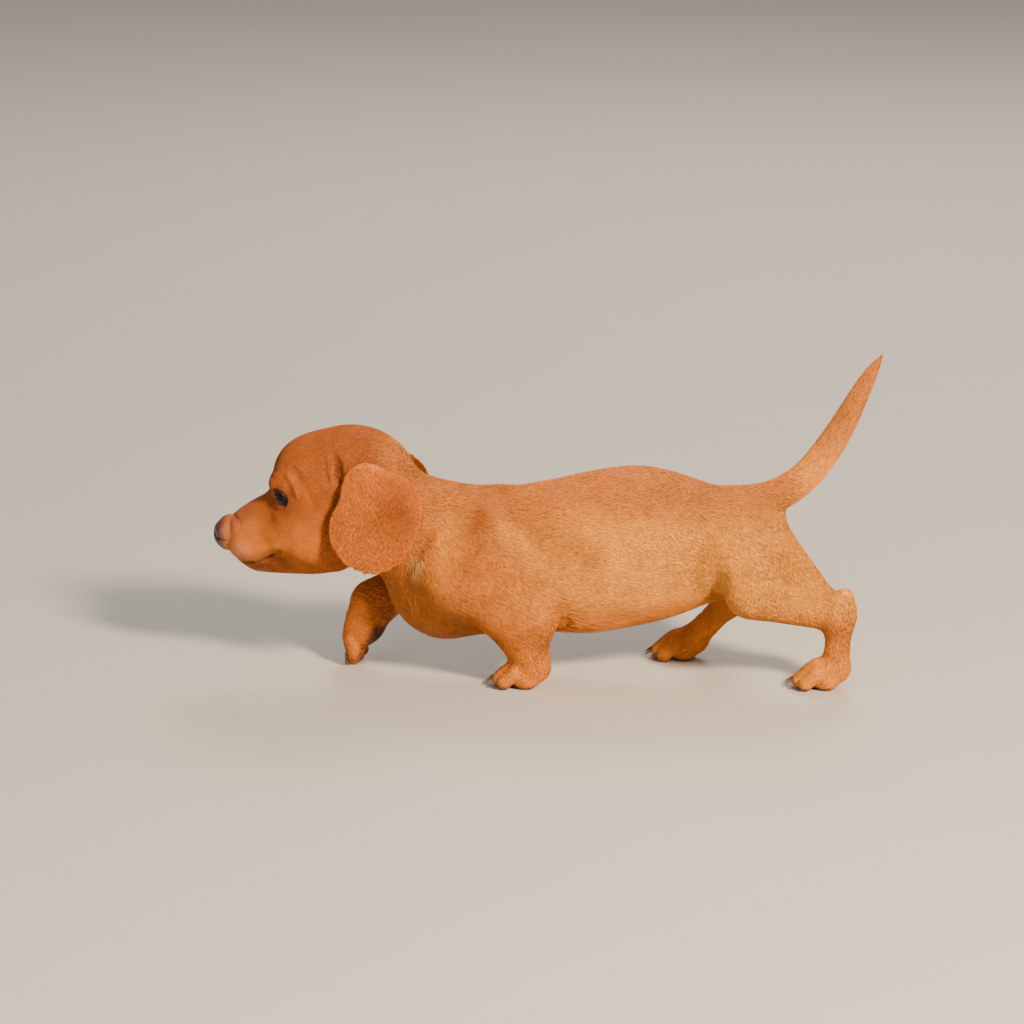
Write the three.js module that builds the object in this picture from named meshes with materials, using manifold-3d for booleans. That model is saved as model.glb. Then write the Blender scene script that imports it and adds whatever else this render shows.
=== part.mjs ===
// A smooth-haired dachshund puppy of about eight weeks, life size, walking with its head low.
// Millimetres, +Z up. It faces -X, its left side is towards -Y, and its soles stand on Z = 0.
import * as THREE from "three";
import { mergeVertices } from "three/addons/utils/BufferGeometryUtils.js";
import Module from "manifold-3d";

const wasm = await Module();
wasm.setup();

// Driving sizes
const gap = 0.4; // thin cut between neighbouring pieces
const far = 400; // longer than any piece, for the blocks that part the body
const headTurn = 9; // degrees that the head is turned to the animal's right
const headPivot = [-100, 0]; // the head turns about the upright line through here
const noseCentre = [-201.8, 0, 87];
const noseRadii = [8.2, 8.6, 9.4];
const noseTilt = -25; // degrees that the nose leather leans back
const eyeRadius = 6.6;
const eyeCentre = [-160, 14.9, 115.5];
const eyeAside = 52; // degrees from straight ahead that an eye looks to its side
const earThickness = 3;
const toeRadius = 4.7;
const clawLength = 8;
const clawRadius = 1.6;
const tailSides = 8;
const tailRows = 13;

// Cell sizes of the surfaces: small where the form is small
const trunkCell = 17;
const neckCell = 12;
const headCell = 8.8;
const muzzleCell = 6.6;
const legCell = 11;
const pawCell = 5.5;

// Colours of the coat and of the bare skin
const coatRed = 0xb8723f;
const coatEar = 0xa85a2c;
const noseBrown = 0x5a3330;
const clawHorn = 0x4a3428;
const eyeDark = 0x20242c;

const radians = THREE.MathUtils.degToRad;

// Fields: each gives about the distance in mm from a point to its surface, negative inside.

/** An ellipsoid about a centre. A positive tilt lowers its front, which is towards -X. */
function egg(centre, radii, tilt = 0) {
  const [cx, cy, cz] = centre;
  const [a, b, c] = radii;
  const cos = Math.cos(radians(tilt));
  const sin = Math.sin(radians(tilt));
  return (px, py, pz) => {
    const dx = px - cx;
    const y = py - cy;
    const dz = pz - cz;
    const x = dx * cos + dz * sin;
    const z = dz * cos - dx * sin;
    const near = Math.hypot(x / a, y / b, z / c);
    const slope = Math.hypot(x / (a * a), y / (b * b), z / (c * c));
    return slope < 1e-9 ? -Math.min(a, b, c) : (near * (near - 1)) / slope;
  };
}

/** A rod with round ends and a radius that changes evenly from one end to the other. */
function limb(from, to, fromRadius, toRadius) {
  const [ax, ay, az] = from;
  const [bx, by, bz] = [to[0] - ax, to[1] - ay, to[2] - az];
  const length2 = bx * bx + by * by + bz * bz;
  return (px, py, pz) => {
    const [x, y, z] = [px - ax, py - ay, pz - az];
    const share = Math.min(1, Math.max(0, (x * bx + y * by + z * bz) / length2));
    const away = Math.hypot(x - bx * share, y - by * share, z - bz * share);
    return away - fromRadius - (toRadius - fromRadius) * share;
  };
}

/** Values of a smooth curve through stations, at x. A station is [x, value, value, ...]. */
function along(stations, x) {
  const last = stations.length - 1;
  const at = Math.min(stations[last][0], Math.max(stations[0][0], x));
  const i = Math.max(0, stations.slice(1, last).filter((station) => station[0] <= at).length);
  const [from, to] = [stations[i], stations[i + 1]];
  const span = to[0] - from[0];
  const t = (at - from[0]) / span;
  const slope = (k, column) => {
    const [before, after] = [stations[Math.max(0, k - 1)], stations[Math.min(last, k + 1)]];
    return (after[column] - before[column]) / (after[0] - before[0]);
  };
  return from.slice(1).map((value, index) => {
    const column = index + 1;
    const rise = to[column] - value;
    const [m0, m1] = [slope(i, column) * span, slope(i + 1, column) * span];
    return value + t * (m0 + t * (3 * rise - 2 * m0 - m1 + t * (m0 + m1 - 2 * rise)));
  });
}

/** A body along X of oval sections. A station is [x, middle height, half height, half width]. */
function sweep(stations) {
  const [first, last] = [stations[0][0], stations[stations.length - 1][0]];
  return (x, y, z) => {
    const [middle, tall, wide] = along(stations, x);
    const beyond = Math.max(first - x, x - last, 0);
    const small = Math.min(tall, wide);
    return (Math.hypot((z - middle) / tall, y / wide, beyond / small) - 1) * small;
  };
}

/** Two distances run into each other over a fillet of about the given width. */
function blend(a, b, soft) {
  const h = Math.max(soft - Math.abs(a - b), 0) / soft;
  return Math.min(a, b) - (h * h * soft) / 4;
}

/** Several fields as one soft body. */
function join(soft, ...fields) {
  return (x, y, z) => {
    let d = fields[0](x, y, z);
    for (let i = 1; i < fields.length; i += 1) d = blend(d, fields[i](x, y, z), soft);
    return d;
  };
}

/** The same field on both sides of the middle plane. */
function mirrored(field) {
  return (x, y, z) => field(x, Math.abs(y), z);
}

// The turn of the head: its nose swings towards +Y.
const turnMatrix = new THREE.Matrix4()
  .makeTranslation(headPivot[0], headPivot[1], 0)
  .multiply(new THREE.Matrix4().makeRotationZ(radians(-headTurn)))
  .multiply(new THREE.Matrix4().makeTranslation(-headPivot[0], -headPivot[1], 0));

/** A field of the straight head, turned with it. */
function turned(field) {
  const cos = Math.cos(radians(headTurn));
  const sin = Math.sin(radians(headTurn));
  const [ox, oy] = headPivot;
  return (x, y, z) => field(ox + (x - ox) * cos - (y - oy) * sin, oy + (x - ox) * sin + (y - oy) * cos, z);
}

// The trunk, from the breast to the root of the tail
const trunk = sweep([
  [-58, 71, 43, 30],
  [-30, 73, 46, 35.5],
  [0, 76.5, 47.5, 37.5],
  [28, 80, 50, 40],
  [54, 83, 50, 41.5],
  [76, 84, 45.5, 38.5],
  [98, 84.5, 37.5, 34],
  [120, 84, 32, 28],
]);
const breast = egg([-64, 0, 61], [36, 29, 35]);
const rump = egg([118, 0, 86.5], [28, 27, 29]);
const shoulderBlade = limb([-38, 21, 100], [-60, 25, 66], 13, 16);
const shoulders = mirrored(join(8, shoulderBlade, egg([-34, 26, 72], [24, 13, 28])));
const neck = join(14, limb([-44, 0, 82], [-98, 0, 106], 34, 27), limb([-62, 0, 70], [-104, 0, 89], 28, 21));

// The head, straight on and already tilted nose down
const skull = join(
  12,
  egg([-122, 0, 127], [39, 30.5, 31]), // brain case
  egg([-149.5, 0, 125], [22.5, 22, 24]), // forehead
  mirrored(egg([-141, 17.5, 98], [26, 13, 24], 10)), // cheeks
);
const snout = sweep([
  [-199, 86.3, 11.8, 9.4],
  [-192, 86.5, 17.4, 14],
  [-179, 88.6, 23.2, 16.6],
  [-164, 90, 26, 18.5],
  [-148, 90, 26, 20],
]);
const jaw = join(
  8,
  limb([-134, 0, 79.5], [-181, 0, 73.2], 15.5, 10),
  mirrored(egg([-182, 8.5, 80], [15, 6.5, 7.5], 8)), // lips
);
const brow = mirrored(egg([-164.5, 12.5, 122.5], [7.5, 7, 6.5]));
const head = turned((x, y, z) => {
  const face = blend(blend(snout(x, y, z), jaw(x, y, z), 7), skull(x, y, z), 12);
  return blend(face, brow(x, y, z), 7);
});

// Legs: the muscles and bones of each as rods from joint to joint
const legs = {
  foreleg_left: join(
    7,
    limb([-56, -27, 62], [-8, -33, 43], 17, 15),
    limb([-15, -34, 41], [-10, -31.5, 16], 15, 10.5),
    limb([-29, -31, 43], [-14, -31.5, 22], 13.5, 10.5),
  ),
  foreleg_right: join(
    7,
    limb([-56, 26, 64], [-82, 28, 55], 17, 14),
    limb([-82, 28, 55], [-110, 24, 39], 14, 13),
    limb([-110, 24, 39], [-114, 23.5, 26], 13, 12.3),
  ),
  hindleg_left: join(
    8,
    limb([117, -18, 92], [127, -31, 64], 25, 17),
    limb([132, -19, 92], [163, -31, 60], 16.5, 11),
    limb([124, -33, 59], [175, -33, 47], 15, 11),
    limb([182.5, -33, 59], [179.5, -33, 46], 5.2, 8),
    limb([179.5, -33, 48], [177, -34, 14], 8.5, 8.5),
  ),
  hindleg_right: join(
    8,
    limb([117, 18, 90], [99, 32, 70], 25, 17),
    limb([130, 19, 88], [112, 31, 54], 16, 9.5),
    limb([98, 33, 68], [117, 33, 41], 14, 9),
    limb([121, 33, 46], [116, 33, 38], 5.2, 8),
    limb([117, 33, 40], [92, 34, 14], 8.5, 8.5),
  ),
};

/** A paw with its ball at the given point: its field, and for each toe its bones and its claw. */
function paw({ ball, pitch = 0, yaw = 0, roll = 0, clawLift = 0 }) {
  const frame = new THREE.Matrix4()
    .makeTranslation(...ball)
    .multiply(new THREE.Matrix4().makeRotationZ(Math.PI + radians(yaw)))
    .multiply(new THREE.Matrix4().makeRotationY(radians(pitch)))
    .multiply(new THREE.Matrix4().makeRotationX(radians(roll)));
  const place = (x, y, z) => new THREE.Vector3(x, y, z).applyMatrix4(frame).toArray();
  const toes = [-1.5, -0.5, 0.5, 1.5].map((slot) => {
    const reach = Math.abs(slot) < 1 ? 3.6 : 0;
    return {
      knuckle: place(5.5 + reach, slot * 5.2, 1.6),
      tip: place(12 + reach, slot * 5.7, -4.2),
      clawRoot: place(12.5 + reach, slot * 5.8, clawLift - 2.6),
      clawTip: place(12.5 + reach + clawLength, slot * 6, clawLift - 6.2),
    };
  });
  const palm = join(
    4,
    limb(place(-7, 0, 3), place(3, 0, 1), 9.2, 9.4),
    limb(place(-1, -4.2, -3.2), place(-1, 4.2, -3.2), 7.2, 7.2),
  );
  const field = join(1.8, palm, ...toes.map(({ knuckle, tip }) => limb(knuckle, tip, toeRadius, toeRadius)));
  return { field, toes };
}

const paws = {
  forepaw_left: paw({ ball: [-15, -31.5, 9], yaw: -6 }),
  forepaw_right: paw({ ball: [-118.5, 23, 20.4], pitch: 66, roll: 14, clawLift: 3 }),
  hindpaw_left: paw({ ball: [170, -34, 9] }),
  hindpaw_right: paw({ ball: [85, 34, 9] }),
};

// The tail: a curve of centres in the middle plane, with a radius at each
const tailStations = [
  [122, 107, 12],
  [142, 115, 10.5],
  [158.3, 126, 9.8],
  [171.8, 143, 9.2],
  [182.8, 161.5, 8],
  [192, 180, 6.2],
  [199, 193, 4.2],
  [205, 203, 1],
];
const tailLine = new THREE.CatmullRomCurve3(tailStations.map(([x, z]) => new THREE.Vector3(x, 0, z)));

/** The tail's radius at a share of its length. */
function tailRadius(share) {
  const at = share * (tailStations.length - 1);
  const i = Math.min(Math.floor(at), tailStations.length - 2);
  return THREE.MathUtils.lerp(tailStations[i][2], tailStations[i + 1][2], at - i);
}

const tailRoot = limb([122, 0, 107], [142, 0, 115], 12, 10);

/** The whole body but the ears, the nose, and the free part of the tail. */
function body(x, y, z) {
  let d = blend(trunk(x, y, z), rump(x, y, z), 10);
  d = blend(d, breast(x, y, z), 12);
  d = blend(d, shoulders(x, y, z), 12);
  d = blend(d, neck(x, y, z), 12);
  d = blend(d, head(x, y, z), 10);
  d = blend(d, tailRoot(x, y, z), 10);
  for (const leg of Object.values(legs)) d = blend(d, leg(x, y, z), 10);
  for (const { field } of Object.values(paws)) d = blend(d, field(x, y, z), 4);
  return d;
}

// Surfaces: a field's zero surface as a closed mesh of one point for each cell that it crosses

/** A point moved along the field's slope until it lies on the surface. */
function pulled(field, start, most) {
  const step = 0.05;
  const point = [...start];
  for (let turn = 0; turn < 4; turn += 1) {
    const d = field(...point);
    const slope = point.map((value, axis) => {
      const beside = [...point];
      beside[axis] += step;
      return (field(...beside) - d) / step;
    });
    const steep = Math.max(slope[0] ** 2 + slope[1] ** 2 + slope[2] ** 2, 0.1);
    for (let axis = 0; axis < 3; axis += 1) {
      const moved = point[axis] - (d * slope[axis]) / steep;
      point[axis] = Math.min(start[axis] + most, Math.max(start[axis] - most, moved));
    }
  }
  return point;
}

/** The points and quads of the surface of a field, on a grid of cells from a low corner. */
function netOf(field, low, cell, counts) {
  const [nx, ny, nz] = counts;
  const index = (i, j, k) => (k * ny + j) * nx + i;
  const place = (i, j, k) => [low[0] + i * cell, low[1] + j * cell, low[2] + k * cell];
  const values = new Float64Array(nx * ny * nz);
  for (let k = 0; k < nz; k += 1)
    for (let j = 0; j < ny; j += 1)
      for (let i = 0; i < nx; i += 1) values[index(i, j, k)] = field(...place(i, j, k));
  const axes = [
    [1, 0, 0],
    [0, 1, 0],
    [0, 0, 1],
  ];
  const points = [];
  const pointOf = new Map();

  /** The point of the cell at i, j, k: the middle of where the surface crosses the cell's edges. */
  const cellPoint = (i, j, k) => {
    const key = index(i, j, k);
    if (pointOf.has(key)) return pointOf.get(key);
    const sum = [0, 0, 0];
    let crossings = 0;
    for (const [axis, [di, dj, dk]] of axes.entries())
      for (const side of [0, 1])
        for (const other of [0, 1]) {
          const offset = [side, other];
          offset.splice(axis, 0, 0);
          const [a, b, c] = [i + offset[0], j + offset[1], k + offset[2]];
          const from = values[index(a, b, c)];
          const to = values[index(a + di, b + dj, c + dk)];
          if (from < 0 === to < 0) continue;
          const share = from / (from - to);
          const corner = place(a, b, c);
          corner[axis] += share * cell;
          for (let n = 0; n < 3; n += 1) sum[n] += corner[n];
          crossings += 1;
        }
    pointOf.set(key, points.length);
    points.push(sum.map((value) => value / crossings));
    return points.length - 1;
  };

  const quads = [];
  for (let k = 1; k < nz - 1; k += 1)
    for (let j = 1; j < ny - 1; j += 1)
      for (let i = 1; i < nx - 1; i += 1) {
        const inside = values[index(i, j, k)] < 0;
        for (const [axis, [di, dj, dk]] of axes.entries()) {
          if (inside === values[index(i + di, j + dj, k + dk)] < 0) continue;
          const [u, v] = [axes[(axis + 1) % 3], axes[(axis + 2) % 3]];
          const corner = (s, t) =>
            cellPoint(...[i, j, k].map((value, n) => value - s * u[n] - t * v[n]));
          const quad = [corner(1, 1), corner(0, 1), corner(0, 0), corner(1, 0)];
          quads.push(inside ? quad : quad.reverse());
        }
      }
  return { points, quads };
}

/** Whether two sheets of a surface meet along an edge, as they do where both cross one cell. */
function touches(faces, count) {
  const edges = new Set();
  for (let i = 0; i < faces.length; i += 3)
    for (const [from, to] of [
      [0, 1],
      [1, 2],
      [2, 0],
    ])
      edges.add(faces[i + from] * count + faces[i + to]);
  return edges.size < faces.length;
}

/** The points next to each point of a mesh of quads. */
function neighbours(count, quads) {
  const around = Array.from({ length: count }, () => new Set());
  for (const quad of quads)
    quad.forEach((v, n) => {
      around[v].add(quad[(n + 1) % 4]);
      around[v].add(quad[(n + 3) % 4]);
    });
  return around;
}

/** The quads of a mesh cut in two along their shorter diagonals. */
function triangles(places, quads) {
  const span = (a, b) => Math.hypot(...places[a].map((value, n) => value - places[b][n]));
  return quads.flatMap(([a, b, c, d]) =>
    span(a, c) < span(b, d) ? [a, b, c, a, c, d] : [a, b, d, b, c, d],
  );
}

/** The solid of a field inside a box, in cells of a size, on the first grid that parts its sheets. */
function carve(field, low, high, cell) {
  const boxed = (...point) =>
    Math.max(field(...point), ...point.map((value, n) => Math.max(low[n] - value, value - high[n])));
  const reach = cell * 0.6; // the most that a point moves
  for (const shift of [0.5, 0.3, 0.7, 0.1, 0.9, 0.2, 0.6]) {
    const start = low.map((value) => value - cell * (1 + shift));
    const counts = start.map((value, axis) => Math.ceil((high[axis] + cell - value) / cell) + 2);
    const { points, quads } = netOf(boxed, start, cell, counts);
    const around = neighbours(points.length, quads);
    const onto = points.map((point) => pulled(boxed, point, reach));
    const places = onto.map((place, v) => {
      const beside = [...around[v]];
      const middle = place.map((_, n) => beside.reduce((sum, w) => sum + onto[w][n], 0) / beside.length);
      const eased = place.map((value, n) => (value + middle[n]) / 2);
      return pulled(boxed, eased, reach);
    });
    const faces = triangles(places, quads);
    if (touches(faces, places.length)) continue;
    return new wasm.Manifold(
      new wasm.Mesh({
        numProp: 3,
        vertProperties: new Float32Array(places.flat()),
        triVerts: new Uint32Array(faces),
      }),
    );
  }
  throw new Error("no closed surface in this box");
}

// Solids, cutting and joining

/** A solid from a closed geometry, placed by a matrix. */
function solidOf(geometry, matrix = new THREE.Matrix4()) {
  const bare = new THREE.BufferGeometry().setAttribute("position", geometry.getAttribute("position").clone());
  if (geometry.index) bare.setIndex(geometry.index.clone());
  const merged = mergeVertices(bare.applyMatrix4(matrix), 1e-3);
  return new wasm.Manifold(
    new wasm.Mesh({
      numProp: 3,
      vertProperties: merged.attributes.position.array,
      triVerts: new Uint32Array(merged.index.array),
    }),
  );
}

/** The matrix that carries the Y axis onto the line between two points, at their middle. */
function between(from, to) {
  const [a, b] = [new THREE.Vector3(...from), new THREE.Vector3(...to)];
  const along = b.clone().sub(a).normalize();
  const turn = new THREE.Quaternion().setFromUnitVectors(new THREE.Vector3(0, 1, 0), along);
  return new THREE.Matrix4().compose(a.clone().add(b).divideScalar(2), turn, new THREE.Vector3(1, 1, 1));
}

/** A rod with round ends. */
function capsule(from, to, radius) {
  const length = new THREE.Vector3(...from).distanceTo(new THREE.Vector3(...to));
  return solidOf(new THREE.CapsuleGeometry(radius, length, 3, 10), between(from, to));
}

/** A box between two corners, grown by a margin. */
function block(low, high, margin = 0, matrix = new THREE.Matrix4()) {
  const size = low.map((value, axis) => high[axis] - value + 2 * margin);
  const middle = low.map((value, axis) => (value + high[axis]) / 2);
  const placed = matrix.clone().multiply(new THREE.Matrix4().makeTranslation(...middle));
  return solidOf(new THREE.BoxGeometry(...size), placed);
}

/** Everything on the far side of a plane through a point, which the normal points into. */
function beyond(point, normal, margin = 0) {
  const out = new THREE.Vector3(...normal).normalize();
  const start = new THREE.Vector3(...point).addScaledVector(out, -margin);
  const end = start.clone().addScaledVector(out, far);
  return solidOf(new THREE.BoxGeometry(2 * far, far, 2 * far), between(start.toArray(), end.toArray()));
}

/** The largest body of a solid: slivers left by the thin cuts drop out. */
function largest(solid) {
  return solid.decompose().sort((a, b) => b.volume() - a.volume())[0];
}

// Regions: the space that each piece of flesh takes of the body, grown by a margin
const regions = {
  forepaw_left: (m) => block([-48, -52, 0], [6, -10, 15], m),
  forepaw_right: (m) => block([-145, 4, 0], [-92, 44, 29], m),
  hindpaw_left: (m) => block([144, -54, 0], [192, -14, 15], m),
  hindpaw_right: (m) => block([56, 14, 0], [104, 54, 15], m),
  forearm_left: (m) => capsule([-10, -37, 35], [-8, -33, 5], 18 + m),
  forearm_right: (m) => capsule([-92, 30, 50], [-116, 24, 20], 18 + m),
  shank_left: (m) =>
    capsule([146, -36, 54], [184, -34, 50], 20 + m).add(capsule([179, -34, 50], [176, -34, 5], 17 + m)),
  shank_right: (m) =>
    capsule([106, 37, 58], [120, 35, 40], 18 + m).add(capsule([120, 34, 40], [88, 35, 8], 15 + m)),
  upper_arm_left: (m) => capsule([-56, -42, 66], [-12, -44, 46], 23 + m),
  upper_arm_right: (m) => capsule([-54, 41, 66], [-80, 38, 58], 22 + m),
  thigh_left: (m) => capsule([116, -41, 90], [130, -42, 62], 27 + m),
  thigh_right: (m) => capsule([116, 41, 88], [102, 42, 68], 27 + m),
  lower_jaw: (m) => block([-240, -40, 40], [-130, 40, 74], m, turnMatrix),
  muzzle: (m) => block([-240, -40, 40], [-172, 40, 130], m, turnMatrix),
  head: (m) => beyond([-101, 0, 101.5], [-0.85, 0, 0.53], m),
  neck: (m) => beyond([-70, 0, 94], [-0.68, 0, 0.73], m),
  tail: (m) => beyond([141, 0, 115], [0.9, 0, 0.44], m).intersect(block([120, -15, 99], [260, 15, 260], m)),
  chest: (m) => beyond([32, 0, 80], [-1, 0, 0], m),
  rump: (m) => beyond([92, 0, 80], [1, 0, 0], m),
  belly: () => block([-far, -far, -far], [far, far, far]),
};

// The box that holds each piece of flesh with room to spare, and the size of its cells
const flesh = {
  forepaw_left: { low: [-46, -50, -6], high: [4, -12, 20], cell: pawCell },
  forepaw_right: { low: [-142, 4, -6], high: [-94, 42, 34], cell: pawCell },
  hindpaw_left: { low: [146, -52, -6], high: [190, -16, 20], cell: pawCell },
  hindpaw_right: { low: [58, 16, -6], high: [102, 52, 20], cell: pawCell },
  forearm_left: { low: [-36, -62, 8], high: [22, -12, 60], cell: legCell },
  forearm_right: { low: [-140, 4, 20], high: [-66, 52, 76], cell: legCell - 1 },
  shank_left: { low: [122, -62, 8], high: [206, -10, 84], cell: legCell },
  shank_right: { low: [70, 12, 8], high: [150, 60, 86], cell: legCell },
  upper_arm_left: { low: [-90, -62, 16], high: [22, -10, 96], cell: legCell },
  upper_arm_right: { low: [-112, 10, 28], high: [-24, 62, 96], cell: legCell },
  thigh_left: { low: [80, -62, 28], high: [164, -8, 124], cell: legCell + 1 },
  thigh_right: { low: [68, 8, 34], high: [150, 62, 122], cell: legCell + 1 },
  lower_jaw: { low: [-218, -40, 50], high: [-120, 50, 84], cell: muzzleCell + 0.8 },
  muzzle: { low: [-218, -30, 60], high: [-160, 50, 130], cell: muzzleCell },
  head: { low: [-190, -44, 60], high: [-70, 50, 168], cell: headCell },
  neck: { low: [-140, -48, 40], high: [-20, 48, 150], cell: neckCell },
  chest: { low: [-120, -54, 10], high: [44, 54, 150], cell: trunkCell },
  rump: { low: [82, -50, 30], high: [170, 50, 140], cell: trunkCell - 1 },
  belly: { low: [20, -54, 10], high: [104, 54, 150], cell: trunkCell },
};

// Eyes: balls that look aside through an almond opening in the head
const almond = new THREE.Matrix4()
  .makeTranslation(eyeRadius + 3, 0, 0)
  .scale(new THREE.Vector3(7.5, 6.2, 4.4));
const eyes = {};
const openings = [];
for (const [name, side] of [
  ["eye_left", -1],
  ["eye_right", 1],
]) {
  const centre = [eyeCentre[0], side * eyeCentre[1], eyeCentre[2]];
  const look = new THREE.Matrix4()
    .makeTranslation(...centre)
    .multiply(new THREE.Matrix4().makeRotationZ(Math.PI - side * radians(eyeAside)));
  const placed = turnMatrix.clone().multiply(look);
  const ball = (radius) => solidOf(new THREE.SphereGeometry(radius, 10, 7), placed);
  eyes[name] = ball(eyeRadius);
  openings.push(ball(eyeRadius + gap));
  openings.push(solidOf(new THREE.SphereGeometry(1, 10, 6), placed.clone().multiply(almond)));
}

/** The nose leather: a ball pressed out of round that stands proud of the muzzle, grown by a margin. */
function noseBall(margin) {
  const matrix = turnMatrix
    .clone()
    .multiply(new THREE.Matrix4().makeTranslation(...noseCentre))
    .multiply(new THREE.Matrix4().makeRotationY(radians(noseTilt)))
    .scale(new THREE.Vector3(...noseRadii.map((radius) => radius + margin)));
  return solidOf(new THREE.SphereGeometry(1, 14, 8), matrix);
}

// Claws: a slim cone out of each toe
const claws = {};
const clawBeds = {};
for (const [pawName, { toes }] of Object.entries(paws)) {
  clawBeds[pawName] = toes.map(({ clawRoot, clawTip }, toe) => {
    const placed = between(clawRoot, clawTip);
    const cone = (margin) =>
      solidOf(new THREE.ConeGeometry(clawRadius + margin, clawLength + margin, 7), placed);
    claws[`${pawName}_claw_${toe + 1}`] = cone(0).intersect(beyond([0, 0, 0.2], [0, 0, 1]));
    return cone(gap);
  });
}

// The flesh: each piece is the body in its own region, less the regions that come before it
const solids = {};
const taken = [];
for (const [name, region] of Object.entries(regions)) {
  if (name !== "tail") {
    const { low, high, cell } = flesh[name];
    let piece = carve(body, low, high, cell).intersect(region(0));
    for (const earlier of taken) piece = piece.subtract(earlier);
    if (name === "head") for (const opening of openings) piece = piece.subtract(opening);
    if (name === "muzzle" || name === "lower_jaw") piece = piece.subtract(noseBall(gap));
    for (const bed of clawBeds[name] ?? []) piece = piece.subtract(bed);
    solids[name] = largest(piece);
  }
  taken.push(region(gap));
}

// The tail: a round cone bent along its curve
const tailGeometry = new THREE.CylinderGeometry(1, 1, 1, tailSides, tailRows);
const tailPoints = tailGeometry.getAttribute("position");
for (let i = 0; i < tailPoints.count; i += 1) {
  const share = tailPoints.getY(i) + 0.5;
  const centre = tailLine.getPoint(share);
  const forward = tailLine.getTangent(share);
  const radius = tailRadius(share);
  const across = tailPoints.getX(i) * radius;
  tailPoints.setXYZ(
    i,
    centre.x - forward.z * across,
    centre.y + tailPoints.getZ(i) * radius,
    centre.z + forward.x * across,
  );
}
solids.tail = largest(solidOf(tailGeometry).intersect(regions.tail(0)));
solids.nose = noseBall(0);

// Ears: a leaf of three lobes that hangs from the side of the skull on a bent sheet
const earLobes = [
  { x: -103.5, z: 99.5, radius: 27 },
  { x: -92, z: 114, radius: 22.5 },
  { x: -107, z: 126.5, radius: 15.5 },
];
const earMiddle = [-102, 109];

/** Distance in the ear's own plane to its outline. */
function earOutline(x, z) {
  const lobes = earLobes.map((lobe) => Math.hypot(x - lobe.x, z - lobe.z) - lobe.radius);
  return lobes.reduce((a, b) => blend(a, b, 8));
}

/** How far the ear hangs from the middle plane. */
function earSheet(x, z, hang) {
  const drop = Math.min(1, Math.max(0, (148 - z) / 34));
  const root = 26;
  return root + (hang - root) * Math.sin((drop * Math.PI) / 2) - 0.0015 * (x + 96) ** 2;
}

/** One ear as a ball that is pressed flat and spread out to the outline. */
function earSolid(side, hang, forward) {
  const geometry = new THREE.SphereGeometry(1, 20, 7);
  const points = geometry.getAttribute("position");
  for (let i = 0; i < points.count; i += 1) {
    const [px, py, pz] = [points.getX(i), points.getY(i), points.getZ(i)];
    const out = Math.hypot(px, pz);
    const angle = Math.atan2(pz, px);
    const away = (length) => [
      earMiddle[0] + Math.cos(angle) * length,
      earMiddle[1] + Math.sin(angle) * length,
    ];
    let reach = 0;
    for (let step = 32; step > 0.02; step /= 2) {
      if (earOutline(...away(reach + step)) < 0) reach += step; // halving steps out to the rim
    }
    const [x, z] = away(reach * out);
    const thick = (earThickness / 2) * Math.sign(py) * Math.sqrt(Math.max(0, 1 - out ** 4));
    points.setXYZ(i, x - forward, side * (earSheet(x, z, hang) + thick), z);
  }
  const index = [...geometry.index.array];
  if (side < 0) index.reverse();
  geometry.setIndex(index);
  return solidOf(geometry, turnMatrix);
}

const grownBody = carve((x, y, z) => body(x, y, z) - gap, [-160, -50, 60], [-50, 54, 166], headCell);
solids.ear_left = largest(earSolid(-1, 37, 0).subtract(grownBody));
solids.ear_right = largest(earSolid(1, 39, 9).subtract(grownBody));

/** A solid as a named mesh with its own finish. */
function meshOf(name, solid, color, roughness) {
  const { numProp, vertProperties, triVerts } = solid.getMesh();
  const positions = new Float32Array((vertProperties.length / numProp) * 3);
  for (let i = 0; i < positions.length / 3; i += 1) {
    positions.set(vertProperties.subarray(i * numProp, i * numProp + 3), i * 3);
  }
  const geometry = new THREE.BufferGeometry();
  geometry.setAttribute("position", new THREE.BufferAttribute(positions, 3));
  geometry.setIndex(new THREE.BufferAttribute(new Uint32Array(triVerts), 1));
  geometry.computeVertexNormals();
  const mesh = new THREE.Mesh(geometry, new THREE.MeshStandardMaterial({ color, roughness, metalness: 0 }));
  mesh.name = name;
  return mesh;
}

const puppy = new THREE.Group();
puppy.name = "dachshund_puppy";
for (const [name, solid] of Object.entries(solids)) {
  const color = name === "nose" ? noseBrown : name.startsWith("ear") ? coatEar : coatRed;
  puppy.add(meshOf(name, solid, color, name === "nose" ? 0.45 : 0.8));
}
for (const [name, solid] of Object.entries(eyes)) puppy.add(meshOf(name, solid, eyeDark, 0.1));
for (const [name, solid] of Object.entries(claws)) puppy.add(meshOf(name, solid, clawHorn, 0.5));

export default puppy;
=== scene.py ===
"""The looks of a smooth-haired dachshund puppy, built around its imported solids.

Places and sizes are in millimetres, in the frame of the solids: the animal faces -X, its left
side is towards -Y and its soles stand on Z = 0. Meshes are turned to metres as they are made.
The head is described straight and level in its own frame, and is then turned with the solids'.
"""

import sys
import logging
import math
from abc import ABC, abstractmethod
from dataclasses import dataclass
from enum import Enum
from typing import Callable, Sequence

import bmesh
import bpy
import numpy as np
from mathutils import Matrix, Vector
from mathutils.bvhtree import BVHTree


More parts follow.
